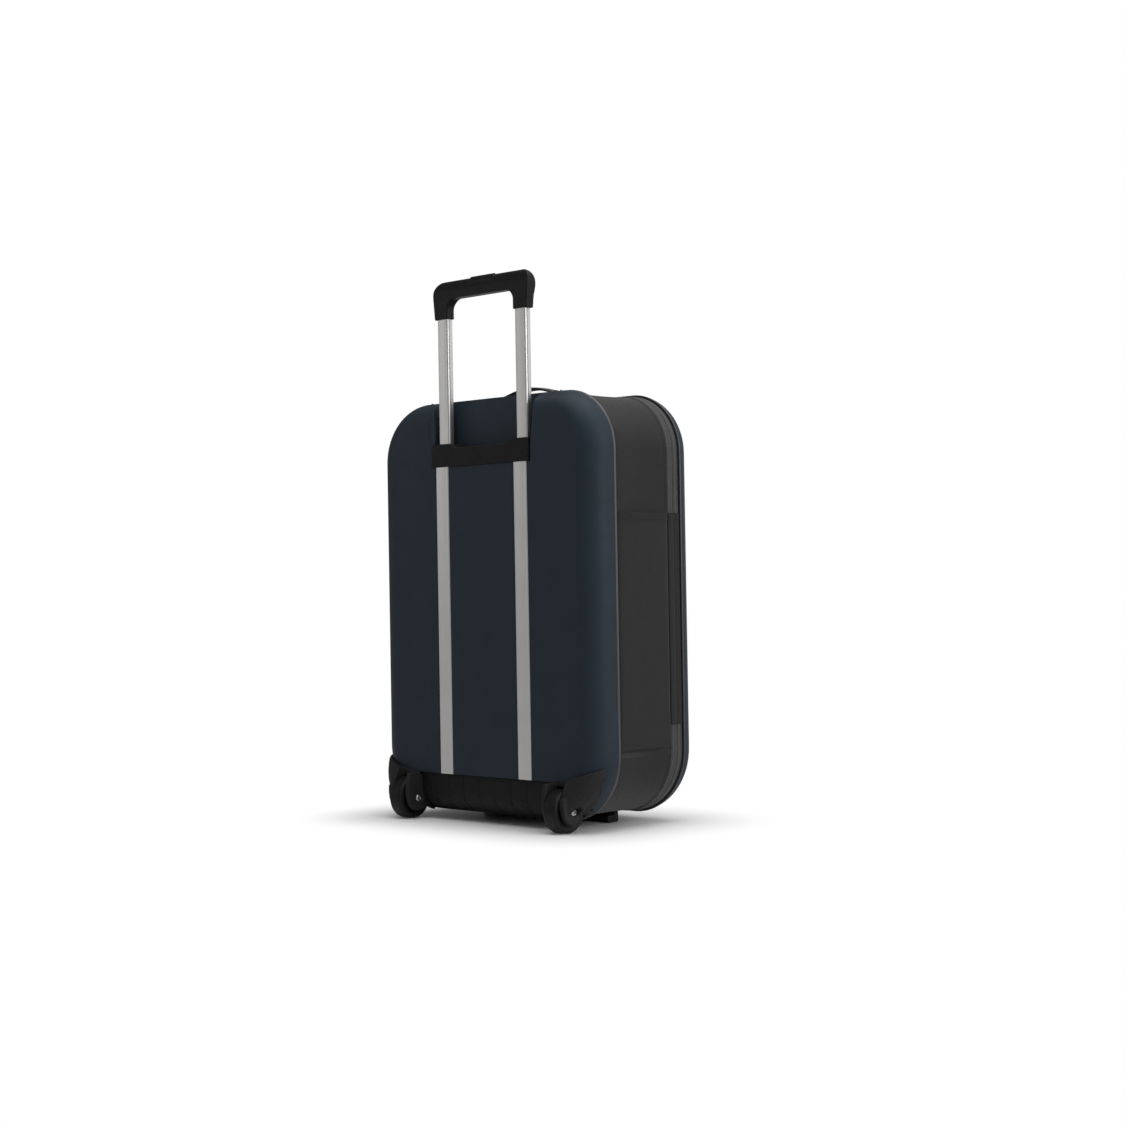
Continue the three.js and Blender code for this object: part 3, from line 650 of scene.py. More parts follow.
def flare(z):
    """0 where the scoop is straight, rising to 1 where it opens out to the top edge."""
    return np.clip((z - FLARE_FROM) / FLARE_HEIGHT, 0, 1) ** 2


def scoop_half(z):
    """Half width of the scoop."""
    return SCOOP_HALF + 9 * flare(z)


def shell_depth(x, z):
    """Depth of the back shell's outer face below the flat back."""
    inside = depth_inside(x, z)
    depths = [dish(inside)]
    floor = 22.4 - 4.5 * (np.abs(x) / SCOOP_HALF) ** 4 + 8 * flare(z)
    u = np.abs(x) - scoop_half(z)
    lip = 2.0 + 8 * np.clip((z - BRACKET_TOP + 8) / 30, 0, 1)
    cove = np.clip(u + 7, 0, 7)
    inner = floor - 7 + np.sqrt(np.maximum(49 - cove * cove, 0))
    scoop = np.where(u <= 0, np.maximum(inner, lip), bead(u, lip))
    depths.append(np.where(z > SCOOP_BOTTOM, scoop, 0))
    groove = np.abs(np.abs(x) - TUBE_X) - GROOVE_HALF
    in_groove = (z > BASE_TOP - 2.3) & (z < SCOOP_BOTTOM + 2)
    depths.append(np.where(in_groove, np.where(groove <= 0, 18.3, bead(groove, 1.4)), 0))
    stepped = (np.abs(x) < BASE_HALF) & (z < BASE_TOP)
    depths.append(np.where(stepped, np.where(inside < 8.4, 30, 8.3 + dish(inside - 8.3, EDGE - 8.3)), 0))
    lip_low = np.where((np.abs(x) < BASE_HALF) & (z >= BASE_TOP), bead(z - BASE_TOP, 1.6), 0)
    depths.append(lip_low)
    well = WHEEL_R + 5.5
    up_down = np.sqrt(np.maximum(well * well - (z - WHEEL_R) ** 2, 0)) + AXLE_Y
    in_well = np.abs(np.abs(x) - WHEEL_X) < 20
    depths.append(np.where(in_well, up_down, 0))
    return np.maximum.reduce(depths)


def quarter_steps(radius, count):
    """Distances from an edge that follow a quarter round evenly."""
    return radius * (1 - np.cos(np.linspace(0, math.pi / 2, count)))


def shell_grid(columns, rows, depth_of):
    """Points of a shell's face on columns that keep clear of the curved ends."""
    past = np.clip(np.where(rows > 300, rows - (TOP - TOP_CORNER), BOTTOM + BOTTOM_CORNER - rows), 0, None)
    corner = np.where(rows > 300, TOP_CORNER, BOTTOM_CORNER)
    reach = HALF_WIDTH - corner + np.sqrt(np.maximum(corner ** 2 - past ** 2, 0))
    hold = np.where(reach > 118, 112, reach - 6)
    size = np.abs(columns)
    shift = np.clip((size - 60) / 20, 0, 1) * np.clip((150 - size) / 46, 0, 1)
    follow = (scoop_half(rows) - SCOOP_HALF)[:, None] * shift[None, :]
    near = size[None, :] + follow
    x = np.where(near > 60, 60 + (near - 60) * (hold[:, None] - 60) / 52, near)
    beyond = (size[None, :] - 112) / (HALF_WIDTH - 112)
    x = np.where(size[None, :] > 112, hold[:, None] + beyond * (reach[:, None] - hold[:, None]), x)
    x = x * np.sign(columns)[None, :]
    z = np.repeat(rows[:, None], len(columns), 1)
    return x, depth_of(x, z), z


def both_sides(values):
    """Places on both sides of the middle, from those on one side. A place at 0 is there once."""
    values = np.unique(np.round(values, 4))
    return np.concatenate([-values[::-1], values[values > 0]])


def shell_piece(name, columns, rows, depth_of, face_y, toward, rim_y, finish):
    """A shell from its field of depths, with a straight rim and a wall."""
    x, depth, z = shell_grid(columns, rows, depth_of)
    y = face_y + toward * depth
    points = np.pad(np.stack([x, y, z], 2), ((1, 1), (1, 1), (0, 0)), mode="edge")
    points[0, :, 1] = points[-1, :, 1] = points[:, 0, 1] = points[:, -1, 1] = rim_y
    faces = grid_faces(*points.shape[:2])
    if toward < 0:
        faces = faces[:, ::-1]
    obj = made_piece(name, points.reshape(-1, 3), faces, finish, outward=False)
    return thicken(obj, WALL)


tiny = 0.02
wall_columns = np.concatenate([
    [0, 12, 24, 36, 46, 54],
    TUBE_X - GROOVE_HALF - quarter_steps(1.4, 4), [TUBE_X - GROOVE_HALF + tiny, TUBE_X],
    TUBE_X + GROOVE_HALF + quarter_steps(1.4, 3), [TUBE_X + GROOVE_HALF - tiny],
    SCOOP_HALF - 7 + quarter_steps(7, 6)[1:-1], [SCOOP_HALF - tiny],
    SCOOP_HALF + quarter_steps(10, 8), [104, 108, 112, 118],
    [BASE_HALF - tiny, BASE_HALF + tiny, WHEEL_X, WHEEL_X - 20 + tiny, WHEEL_X + 20 - tiny],
    [WHEEL_X - 20 - tiny, WHEEL_X + 20 + tiny, 130, 136, 150, 156, 168],
    HALF_WIDTH - quarter_steps(EDGE, 12),
])
wall_rows = np.concatenate([
    BOTTOM + quarter_steps(EDGE, 12), np.arange(24, 58, 3.0), [BASE_TOP - 2.3 - tiny, BASE_TOP - 2.3 + tiny],
    [BASE_TOP - tiny], BASE_TOP + quarter_steps(1.6, 4), np.arange(68, 100, 6.0),
    np.arange(110, 450, 10.0), [SCOOP_BOTTOM - tiny, SCOOP_BOTTOM + tiny, SCOOP_BOTTOM + 2 + tiny],
    np.arange(470, 525, 5.0), TOP - quarter_steps(EDGE, 18),
])
back_shell = shell_piece(
    "back_shell_skin", both_sides(wall_columns), np.unique(np.round(wall_rows, 4)),
    shell_depth, BACK, 1, RIM, SHELL,
)
place(back_shell, "case_back", "shell_abs", "back_shell")

# %% front shell
FRONT = span("front_shell")[1][1]
FRONT_DEEP = FRONT - span("front_shell")[0][1]
FRONT_REACH = 70                           # how far in from the outline its edge starts to fall


def front_depth(x, z):
    """Depth of the front shell's face behind its flat front; the edge is a quarter of an ellipse."""
    short = np.clip(FRONT_REACH - depth_inside(x, z), 0, FRONT_REACH) / FRONT_REACH
    return FRONT_DEEP * (1 - np.sqrt(np.maximum(1 - short * short, 0)))


plain_columns = np.concatenate([np.arange(0, 128, 12.0), HALF_WIDTH - quarter_steps(FRONT_REACH, 18)])
plain_rows = np.concatenate([
    BOTTOM + quarter_steps(FRONT_REACH, 18), np.arange(90, 480, 12.0), TOP - quarter_steps(FRONT_REACH, 20),
])
front_shell = shell_piece(
    "front_shell_skin", both_sides(plain_columns), np.unique(np.round(plain_rows, 4)),
    front_depth, FRONT, -1, span("front_shell")[0][1], SHELL,
)
place(front_shell, "lid", "shell_abs", "front_shell")

# %% [markdown]
# A cord of soft plastic hides the raw edge of each shell, where the fabric is sewn to it.
# The back one is fat and round and catches a line of light. The front one is thin.


# %% piping
def cord_section(inset, y, radius, lip, count=20):
    """A round cord with a thin sewing lip that runs inwards from it."""
    turn = np.linspace(0.85 * math.pi, -0.85 * math.pi, count)
    ring = [(inset - radius * math.cos(a), y + radius * math.sin(a)) for a in turn]
    return ring + [(lip, y - 0.5), (lip, y + 0.5)]


for title, node, body in (("back_cord", "back_piping", "case_back"), ("front_cord", "front_piping", "lid")):
    low, high = span(node)
    radius = (high[1] - low[1]) / 2
    cord = round_case(
        title, cord_section(radius - 1, (low[1] + high[1]) / 2, radius, 4.0), PIPING, step=5,
    )
    place(cord, body, "edge_piping", node)

# %% [markdown]
# The middle of the case is a ring of coated canvas, 98 mm deep, that folds away when the
# case is emptied. It is stretched flat between the back shell and a hoop, so it bows in a
# little. Nothing in it is padded, so it is built straight from its curved section and
# needs no cloth simulation.

# %% gusset
GUSSET_BACK = span("gusset")[0][1]
GUSSET_FRONT = span("gusset")[1][1]
GUSSET_INSET = 3.0
GUSSET_THICK = 1.6
GUSSET_BOW = 1.3                           # how far the stretched canvas bows in at its middle


def folds_with_case(obj):
    """Gives the piece its own copy of its mesh; nothing here flattens it."""
    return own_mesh(obj)


def slack(s, y):
    """Soft unevenness of stretched canvas, at most 0.5 mm, nothing at its sewn edges."""
    t = (y - GUSSET_BACK) / (GUSSET_FRONT - GUSSET_BACK)
    turn = 2 * math.pi * s / PERIMETER
    ripple = np.sin(5 * turn + 1.2) + 0.7 * np.sin(9 * turn + 4 * t) + 0.5 * np.sin(17 * turn + 2.0)
    return 0.22 * ripple * np.sin(math.pi * np.clip(t, 0, 1))


gusset = round_case(
    "gusset_canvas",
    strip_section(GUSSET_INSET, GUSSET_BACK, GUSSET_FRONT, GUSSET_THICK, steps=18, bow=GUSSET_BOW),
    CANVAS, step=6, wave=slack,
)
place(gusset, "case_back", "gusset_fabric", "gusset")
folds_with_case(gusset)

# %% [markdown]
# The zip runs right round except along the hinge side. Each half is a woven tape sewn to
# its own part of the case. Two raised rows run along each tape, one over the sewing and
# one over the coil, so the tape is a thin section with two low ribs.

# %% zip tapes
HINGE_LOW = span("hinge_fabric_rear")[0][2] - 0.3
HINGE_HIGH = span("hinge_fabric_rear")[1][2] + 0.3
SIDE_FOOT = BOTTOM + BOTTOM_CORNER        # height where arc length starts
TAPE_INSET = HALF_WIDTH - span("hinge_fabric_rear")[1][0]
ZIP_FROM = HINGE_HIGH - SIDE_FOOT
ZIP_TO = PERIMETER + HINGE_LOW - SIDE_FOOT


def tape_section(y0, y1, coil_side):
    """A tape with a rib over the stitching and a fuller one over the coil."""
    t = np.linspace(0, 1, 25)
    toward = t if coil_side > 0 else 1 - t
    rib = 0.45 * np.exp(-((toward - 0.16) / 0.10) ** 2) + 0.7 * np.exp(-((toward - 0.74) / 0.17) ** 2)
    edge = 0.5 * np.abs(2 * t - 1) ** 14
    outer = [(TAPE_INSET + 0.7 - r + e, y0 + (y1 - y0) * v) for r, e, v in zip(rib, edge, t)]
    step = y1 - 3.4 if coil_side > 0 else y0 + 3.4
    first, last = (2.0, 1.3) if coil_side > 0 else (1.3, 2.0)
    first, last = TAPE_INSET + first, TAPE_INSET + last
    inner = [(first, y0), (first, step), (last, step), (last, y1)]
    return outer + inner[::-1]


for title, node, body, coil_side in (
    ("zip_tape_rear_weave", "zip_tape_rear", "front_frame", 1),
    ("zip_tape_front_weave", "zip_tape_front", "lid", -1),
):
    low, high = span(node)
    tape = round_case(
        title, tape_section(low[1], high[1], coil_side), TAPE, step=5, start=ZIP_FROM, end=ZIP_TO,
    )
    place(tape, body, "zip_tape", node)

# %% [markdown]
# Along the hinge side one strip of canvas joins the lid to the case. In the design it is
# two halves, one on each body. Here it is a single cloth that runs across the hinge line,
# with a shallow crease along the zip line.

# %% hinge strip
ZIP_LINE = float((span("zip_tape_rear")[0][1] + span("zip_tape_front")[1][1]) / 2)


def cloth_panel(name, outer, back, chart, finish, sharp=50):
    """A closed cloth from a grid of points on its outer face; back is the way to its inner face."""
    columns, rows = outer.shape[:2]
    count = columns * rows
    face = grid_faces(columns, rows)
    rim = np.concatenate([
        np.arange(rows), np.arange(1, columns) * rows + rows - 1,
        np.arange(rows - 2, -1, -1) + (columns - 1) * rows, np.arange(columns - 2, 0, -1) * rows,
    ])
    following = np.roll(rim, -1)
    side = np.stack([rim, following, following + count, rim + count], 1)
    points = np.concatenate([outer.reshape(-1, 3), outer.reshape(-1, 3) + np.array(back)])
    faces = np.concatenate([face, face[:, ::-1] + count, side])
    return made_piece(name, points, faces, finish, np.tile(chart.reshape(-1, 2), (2, 1)), sharp)


def side_cloth(name, outer_of, y0, y1, z0, z1, columns, rows, thickness):
    """A canvas panel that faces +X. outer_of(ty, tz, y, z) gives its outer face."""
    ty, tz = np.meshgrid(np.linspace(0, 1, columns), np.linspace(0, 1, rows), indexing="ij")
    y, z = y0 + (y1 - y0) * ty, z0 + (z1 - z0) * tz
    outer = np.stack([outer_of(ty, tz, y, z), y, z], 2)
    return cloth_panel(name, outer, (-thickness, 0, 0), np.stack([z, y], 2), CANVAS)


def hemmed(tz, height, fold):
    """The turned hem along a panel's top: a second layer fold millimetres wide."""
    below = (1 - tz) * height
    return 0.55 / (1 + np.exp((below - fold) / 0.35))


strip_low, strip_high = span("hinge_fabric_rear")[0], span("hinge_fabric_front")[1]
strip_height = strip_high[2] - strip_low[2]
hinge_strip = side_cloth(
    "hinge_strip",
    lambda ty, tz, y, z: strip_high[0] + 0.25 + hemmed(tz, strip_height, 8)
    - 0.5 * np.exp(-((y - ZIP_LINE) / 1.2) ** 2) - 0.8 * np.abs(2 * ty - 1) ** 12,
    strip_low[1], strip_high[1], strip_low[2], strip_high[2], 40, 160, 1.8,
)
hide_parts("hinge_fabric_rear", "hinge_fabric_front")
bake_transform(hinge_strip)

# %% side pocket
pocket_low, pocket_high = span("side_pocket")
pocket_height = pocket_high[2] - pocket_low[2]


def pocket_face(ty, tz, y, z):
    """The pocket lies close to the gusset, gapes a little at its mouth and meets the canvas at its seams."""
    full = np.sin(math.pi * np.clip(ty, 0, 1)) ** 0.6
    gape = 0.7 * tz ** 6 * full
    seam = 1.5 * np.maximum(np.abs(2 * ty - 1) ** 22, np.clip(1 - tz * 5, 0, 1) ** 2)
    crease = 0.18 * np.sin(z / 47.0 + y / 31.0) * full
    return pocket_high[0] - 0.5 + gape - seam + crease + hemmed(tz, pocket_height, 9)


pocket = side_cloth(
    "side_pocket_canvas", pocket_face, pocket_low[1] - 1.4, pocket_high[1] + 1.4,
    pocket_low[2], pocket_high[2], 60, 200, 1.0,
)
place(pocket, "case_back", "gusset_fabric", "side_pocket")
folds_with_case(pocket)

# %% [markdown]
# The wheel housings flow out of the corners of the shell: a thin skin over the corner, a
# round cheek on each side of the wheel, and a point where they fade into the shell. The
# design holds that form with hard facets. A fine remesh and a little smoothing give it
# the soft edges of a moulding. A long shallow panel is then pressed into the outer cheek.

# %% wheel housings
HOUSING_STEP = 0.8


def toward_path(y, z, path):
    """Distance in y and z to a chain of points."""
    best = np.full(len(y), 1e9)
    for (y0, z0), (y1, z1) in zip(path[:-1], path[1:]):
        dy, dz = y1 - y0, z1 - z0
        t = np.clip(((y - y0) * dy + (z - z0) * dz) / (dy * dy + dz * dz), 0, 1)
        best = np.minimum(best, np.hypot(y - y0 - t * dy, z - z0 - t * dz))
    return best


def housing(side, sign):
    """One housing from the design's solid."""
    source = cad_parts[f"wheel_housing_{side}"]
    mesh = source.data.copy()
    clean(mesh, outward=False)
    obj = bpy.data.objects.new(f"wheel_housing_{side}_moulding", mesh)
    bpy.context.scene.collection.objects.link(obj)
    remesh = obj.modifiers.new("skin", "REMESH")
    remesh.mode = "VOXEL"
    remesh.voxel_size = HOUSING_STEP * MM
    settle(obj)
    smooth = obj.modifiers.new("soften", "SMOOTH")
    smooth.factor, smooth.iterations = 0.5, 7
    settle(obj)
    points = np.zeros(len(obj.data.vertices) * 3)
    obj.data.vertices.foreach_get("co", points)
    points = points.reshape(-1, 3) / MM
    normals = np.zeros(len(obj.data.vertices) * 3)
    obj.data.vertices.foreach_get("normal", normals)
    normals = normals.reshape(-1, 3)
    panel = [(AXLE_Y + BACK - 2, WHEEL_R - 2), (AXLE_Y + BACK + 11, WHEEL_R + 20)]
    reach = toward_path(points[:, 1], points[:, 2], panel)
    outer = (points[:, 0] * sign > WHEEL_X + 8) & (normals[:, 0] * sign > 0.25)
    sunk = 1.5 / (1 + np.exp((reach - 10.5) / 0.25)) * outer
    points[:, 0] -= sign * sunk
    obj.data.vertices.foreach_set("co", (points * MM).ravel())
    obj.data.materials.clear()
    # The housings take the lighter nylon, whose grey is painted light.
    obj.data.materials.append(HOUSING_PAINTED_LIGHT)
    obj.data.shade_smooth()
    return place(obj, "case_back", "moulded_black", f"wheel_housing_{side}")


SIDES = (("right", 1), ("left", -1))
for side, sign in SIDES:
    housing(side, sign)

# %% [markdown]
# Between the wheels a moulded plate guards the lower edge of the shell. It follows the
# rounded edge a few millimetres deeper and carries eight narrow grooves.

# %% base plate
plate_low, plate_high = span("base_plate")
PLATE_INSET = plate_low[1] - BACK
RIBS = 8
RIB_PITCH = 29


def plate_depth(x, z):
    """Depth of the plate's face, with its grooves."""
    face = PLATE_INSET + dish(depth_inside(x, z) - PLATE_INSET, EDGE - PLATE_INSET)
    groove = np.zeros_like(x)
    for rib in range(RIBS):
        away = np.abs(x - (rib - (RIBS - 1) / 2) * RIB_PITCH)
        groove = np.maximum(groove, np.clip(1.5 - away, 0, 0.9) / 0.9)
    rim = bead(plate_high[2] - z, 1.2) + bead(plate_high[0] - np.abs(x), 1.0)
    return face + 1.3 * groove + rim


def base_plate():
    """The plate, as rows that go down its face and then under the case."""
    rib_at = [(rib - (RIBS - 1) / 2) * RIB_PITCH for rib in range(RIBS)]
    near = np.concatenate([[c - 1.6, c - 1.0, c - 0.5, c + 0.5, c + 1.0, c + 1.6] for c in rib_at])
    ends = plate_high[0] - quarter_steps(1.0, 4)
    columns = np.unique(np.round(np.concatenate([near, ends, -ends, np.arange(-112, 113, 8.0)]), 4))
    radius = EDGE - PLATE_INSET
    rows = np.concatenate([
        BOTTOM + PLATE_INSET + 0.05 + quarter_steps(radius, 16), [50, 56],
        plate_high[2] - quarter_steps(1.2, 4),
    ])
    rows = np.unique(np.round(rows, 4))[::-1]
    x, z = np.meshgrid(columns, rows)
    lift = np.maximum(BOTTOM_CORNER - np.sqrt(np.maximum(
        BOTTOM_CORNER ** 2 - np.clip(np.abs(x) - (HALF_WIDTH - BOTTOM_CORNER), 0, None) ** 2, 0)), 0)
    z = z + lift * np.clip((50 - z) / 30, 0, 1)
    y = BACK + np.minimum(plate_depth(x, z), plate_high[1] - BACK)
    under = np.stack([x[-1], np.full(len(columns), plate_high[1] - 0.2), z[-1] - PLATE_INSET + 0.8], 1)
    points = np.concatenate([np.stack([x, y, z], 2), under[None]], 0)
    faces = grid_faces(*points.shape[:2])
    obj = made_piece("base_plate_moulding", points.reshape(-1, 3), faces, BASE, outward=False)
    thicken(obj, 2.2)
    return place(obj, "case_back", "moulded_black", "base_plate")


base_plate()

# %% wheels
def wheel_pieces(side, sign):
    """Tyre, centre, bearings, axle and screws of one wheel."""
    centre = (sign * WHEEL_X, AXLE_Y + BACK, WHEEL_R)
    half = float(span("tyre_right")[1][0] - span("tyre_right")[0][0]) / 2
    body = f"wheel_{side}"
    shoulder = [
        (WHEEL_R - 4.6 + 4.6 * math.cos(a), half - 4.2 + 4.2 * math.sin(a)) for a in np.linspace(0, 1.45, 10)
    ]
    line = [(WHEEL_R - 5.6, half - 0.5), (WHEEL_R - 6.1, half - 0.1), (WHEEL_R - 7.2, half - 0.1)]
    side_wall = shoulder + line + [(18.2, half - 1.4), (18.0, half - 2.2)]
    crown = [(WHEEL_R, -(half - 4.2)), (WHEEL_R, 0), (WHEEL_R, half - 4.2)]
    profile = [(r, -w) for r, w in side_wall[::-1]] + crown[1:2] + side_wall
    place(turned(f"tyre_{side}_tread", profile, centre, TYRE), body, "wheel_rubber", f"tyre_{side}")
    w = half - 2.4
    web = [
        (8, -w), (9.6, -w), (10.2, -w + 0.6), (10.8, -3.4), (11.4, -2.8), (14.2, -2.8), (14.9, -3.4),
        (15.4, -w + 0.6), (15.9, -w), (17.7, -w),
    ]
    profile = web + [(r, -x) for r, x in web[::-1]]
    place(turned(f"wheel_{side}_centre", profile, centre, HUB), body, "hub_plastic", f"wheel_hub_{side}")
    for name, step in (("outer", 6.5), ("inner", -6.5)):
        race = [(3.3, -2.5), (4.4, -2.5), (4.6, -2.0), (6.4, -2.0), (6.6, -2.5), (7.6, -2.5)]
        profile = [(r, x + sign * step) for r, x in race + [(r, -x) for r, x in race[::-1]]]
        node = f"bearing_{name}_{side}"
        place(turned(f"{node}_races", profile, centre, STEEL, 64), body, "screw_steel", node)
    end = float(span("axle_right")[1][0]) - WHEEL_X
    shaft = [(0, -end), (2.6, -end), (3.0, -end + 0.4), (3.0, end - 0.4), (2.6, end), (0, end)]
    place(turned(f"axle_{side}_shaft", shaft, centre, STEEL, 48), "case_back", "screw_steel", f"axle_{side}")
    for name, face in (("outer", sign), ("inner", -sign)):
        node = f"axle_screw_{name}_{side}"
        low, high = span(node)
        seat = (low if face > 0 else high)[0] - centre[0]
        socket = [(0, 0.5), (2.0, 0.5), (2.0, 1.7)]
        head = socket + [(2.3, 1.9), (3.4, 1.75), (4.5, 1.2), (5.2, 0.4), (5.2, 0), (0, 0)]
        profile = [(r, seat + face * x) for r, x in head]
        place(turned(f"{node}_head", profile, centre, STEEL, 72, hexed=3), "case_back", "screw_steel", node)


for side, sign in SIDES:
    wheel_pieces(side, sign)

# %% [markdown]
# The trolley is two drawn aluminium tubes that slide in two fixed rails. A drawn section
# is the same all along, so each is one outline pushed along the height, with the slightly
# crowned face and the fine groove beside the corner that such tubes have.

# %% rails and tubes
def drawn_section(width, depth, radius, crown, groove=0.0):
    """Outline of a drawn tube, centred in x, its back face at y = 0."""
    points = []
    for cx, cy, start in (
        (width / 2 - radius, radius, -90), (width / 2 - radius, depth - radius, 0),
        (radius - width / 2, depth - radius, 90), (radius - width / 2, radius, 180),
    ):
        for a in np.radians(np.linspace(start, start + 90, 7)):
            points.append((cx + radius * math.cos(a), cy + radius * math.sin(a)))
        if groove and start == -90:
            points += groove_points(width / 2, radius, groove)
        if groove and start == 90:
            points += [(-x, y) for x, y in groove_points(width / 2, depth - radius, groove, depth)]
    flat = np.linspace(radius - width / 2, width / 2 - radius, 13)[1:-1]
    back = [(x, crown * (x / (width / 2)) ** 2) for x in flat]
    return np.array(points + back)


def groove_points(half, start, depth, whole=None):
    """A square groove in the side face near the back corner."""
    at = start + 0.5 if whole is None else 3.6
    steps = [(half, at), (half - depth, at + 0.2), (half - depth, at + 1.1), (half, at + 1.3)]
    return steps if whole is None else steps[::-1]


def drawn(name, outline, x, y, z0, z1, wall, finish):
    """A tube: its outline and the same outline drawn in by the wall, pushed from z0 to z1."""
    middle = outline.mean(0)
    size = outline.max(0) - outline.min(0)
    inner = middle + (outline - middle) * (1 - 2 * wall / size)
    count = len(outline)
    rows = []
    for path, z in ((outline, z0), (outline, z1), (inner, z1), (inner, z0)):
        rows.append(np.stack([path[:, 0] + x, path[:, 1] + y, np.full(count, z)], 1))
    return made_piece(name, np.concatenate(rows), grid_faces(4, count, True, True), finish, sharp=30)


for side, sign in SIDES:
    low, high = span(f"rail_{side}")
    size = high - low
    outline = drawn_section(size[0], size[1], 1.3, 0.35)
    rail = drawn(f"rail_{side}_profile", outline, sign * TUBE_X, low[1], low[2], high[2], 1.5, ANODISED)
    place(rail, "case_back", "anodised_tube", f"rail_{side}")
    low, high = span(f"inner_tube_{side}")
    size = high - low
    outline = drawn_section(size[0], size[1], 2.0, 0.3, groove=0.9)
    tube = drawn(f"inner_tube_{side}_profile", outline, sign * TUBE_X, low[1], low[2], high[2], 1.3, ANODISED)
    place(tube, "trolley", "anodised_tube", f"inner_tube_{side}")
    refined(f"tube_bush_{side}", f"tube_bush_{side}_moulding", "case_back", "moulded_black", NYLON, 0.5)
    refined(f"tube_end_{side}", f"tube_end_{side}_moulding", "trolley", "moulded_black", NYLON, 0.5)
    refined(f"lock_pin_{side}", f"lock_pin_{side}_turned", "lock_pins", "screw_steel", STEEL, 0.3)
    refined(f"push_rod_{side}", f"push_rod_{side}_turned", "release", "screw_steel", STEEL, 0.2)

# %% return springs
def coil_spring(side, sign, turns=9, wire=0.42):
    """A real helix in place of the design's sleeve."""
    low, high = span(f"return_spring_{side}")
    middle = (low + high) / 2
    radius = (high[0] - low[0]) / 2 - wire
    t = np.linspace(0, 1, turns * 18 + 1)
    turn = 2 * math.pi * turns * t
    path = np.stack([
        middle[0] + radius * np.cos(turn), middle[1] + radius * np.sin(turn),
        low[2] + wire + (high[2] - low[2] - 2 * wire) * t,
    ], 1)
    outward = np.stack([np.cos(turn), np.sin(turn), 0 * t], 1)
    ring = np.linspace(0, 2 * math.pi, 8, endpoint=False)
    points = path[:, None] + wire * (
        np.cos(ring)[None, :, None] * outward[:, None] + np.sin(ring)[None, :, None] * np.array([0, 0, 1.0])
    )
    faces = grid_faces(len(t), 8, round_columns=True).tolist()
    last = (len(t) - 1) * 8
    faces += [list(range(8))[::-1], list(range(last, last + 8))]
    spring = made_piece(f"return_spring_{side}_coil", points.reshape(-1, 3), faces, STEEL)
    place(spring, "trolley", "screw_steel", f"return_spring_{side}")
    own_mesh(spring)


for side, sign in SIDES:
    coil_spring(side, sign)

# %% [markdown]
# The bracket holds the tops of the rails and guides the tubes. Its upper edge rises in a
# soft shoulder at each tube. The grip, the button and the bracket are all mouldings with
# many blended edges, so each is given as a formula and skinned.

# %% tube bracket
bracket_low, bracket_high = span("tube_bracket")
bush_low, bush_high = span("tube_bush_right")
FIT = 0.3                                  # clearance round a bush


def bracket_field(x, y, z):
    """The bar with its two shoulders, and a pocket for each bush."""
    size = np.abs(x)
    shoulder = np.clip((size - 42) / 16, 0, 1)
    crest = BRACKET_TOP - 3.5 + 5.6 * shoulder * shoulder * (3 - 2 * shoulder)
    bar = box_field(x, y, z, (-bracket_high[0], bracket_low[1], bracket_low[2]),
                    (bracket_high[0], bracket_high[1], BRACKET_TOP + 10), 1.2)
    bar = round_max(bar, z - crest, 2.0)
    pocket = box_field(
        size, y, z, (bush_low[0] - FIT, bush_low[1] - FIT, 400),
        (bush_high[0] + FIT, bush_high[1] + FIT, 560), 0.6,
    )
    return round_max(bar, -pocket, 0.5)


bracket = skin(
    "tube_bracket_moulding", bracket_field, bracket_low, (*bracket_high[:2], BRACKET_TOP + 3), 0.75, NYLON,
)
place(bracket, "case_back", "moulded_black", "tube_bracket")

# %% grip
grip_low, grip_high = span("grip")
GRIP_Y = float((grip_low[1] + grip_high[1]) / 2)
GRIP_HALF_DEPTH = float((grip_high[1] - grip_low[1]) / 2)
GRIP_TOP = float(grip_high[2])
GRIP_UNDER = 686
GRIP_HALF = float(grip_high[0])
LEG_IN = TUBE_X - 9.7 - 2
WIDEST = 691                               # height where the bar is deepest
button_low, button_high = span("release_button")
BUTTON_HALF = 24


def corner_distance(across, up, reach, height, radius):
    """Distance from a shape with one rounded corner, at reach and height."""
    past_across, past_up = across - (reach - radius), up - (height - radius)
    out = np.hypot(np.maximum(past_across, 0), np.maximum(past_up, 0))
    return out + np.minimum(np.maximum(past_across, past_up), 0) - radius


def crest_half(z, lifted=0.0):
    """Half depth of the bar: full at its widest height, closing to a narrow crest."""
    up = np.clip((z - lifted - WIDEST) / (GRIP_TOP + 0.4 - WIDEST), 0, 1)
    return GRIP_HALF_DEPTH * (1 - up ** 1.7) ** 0.75


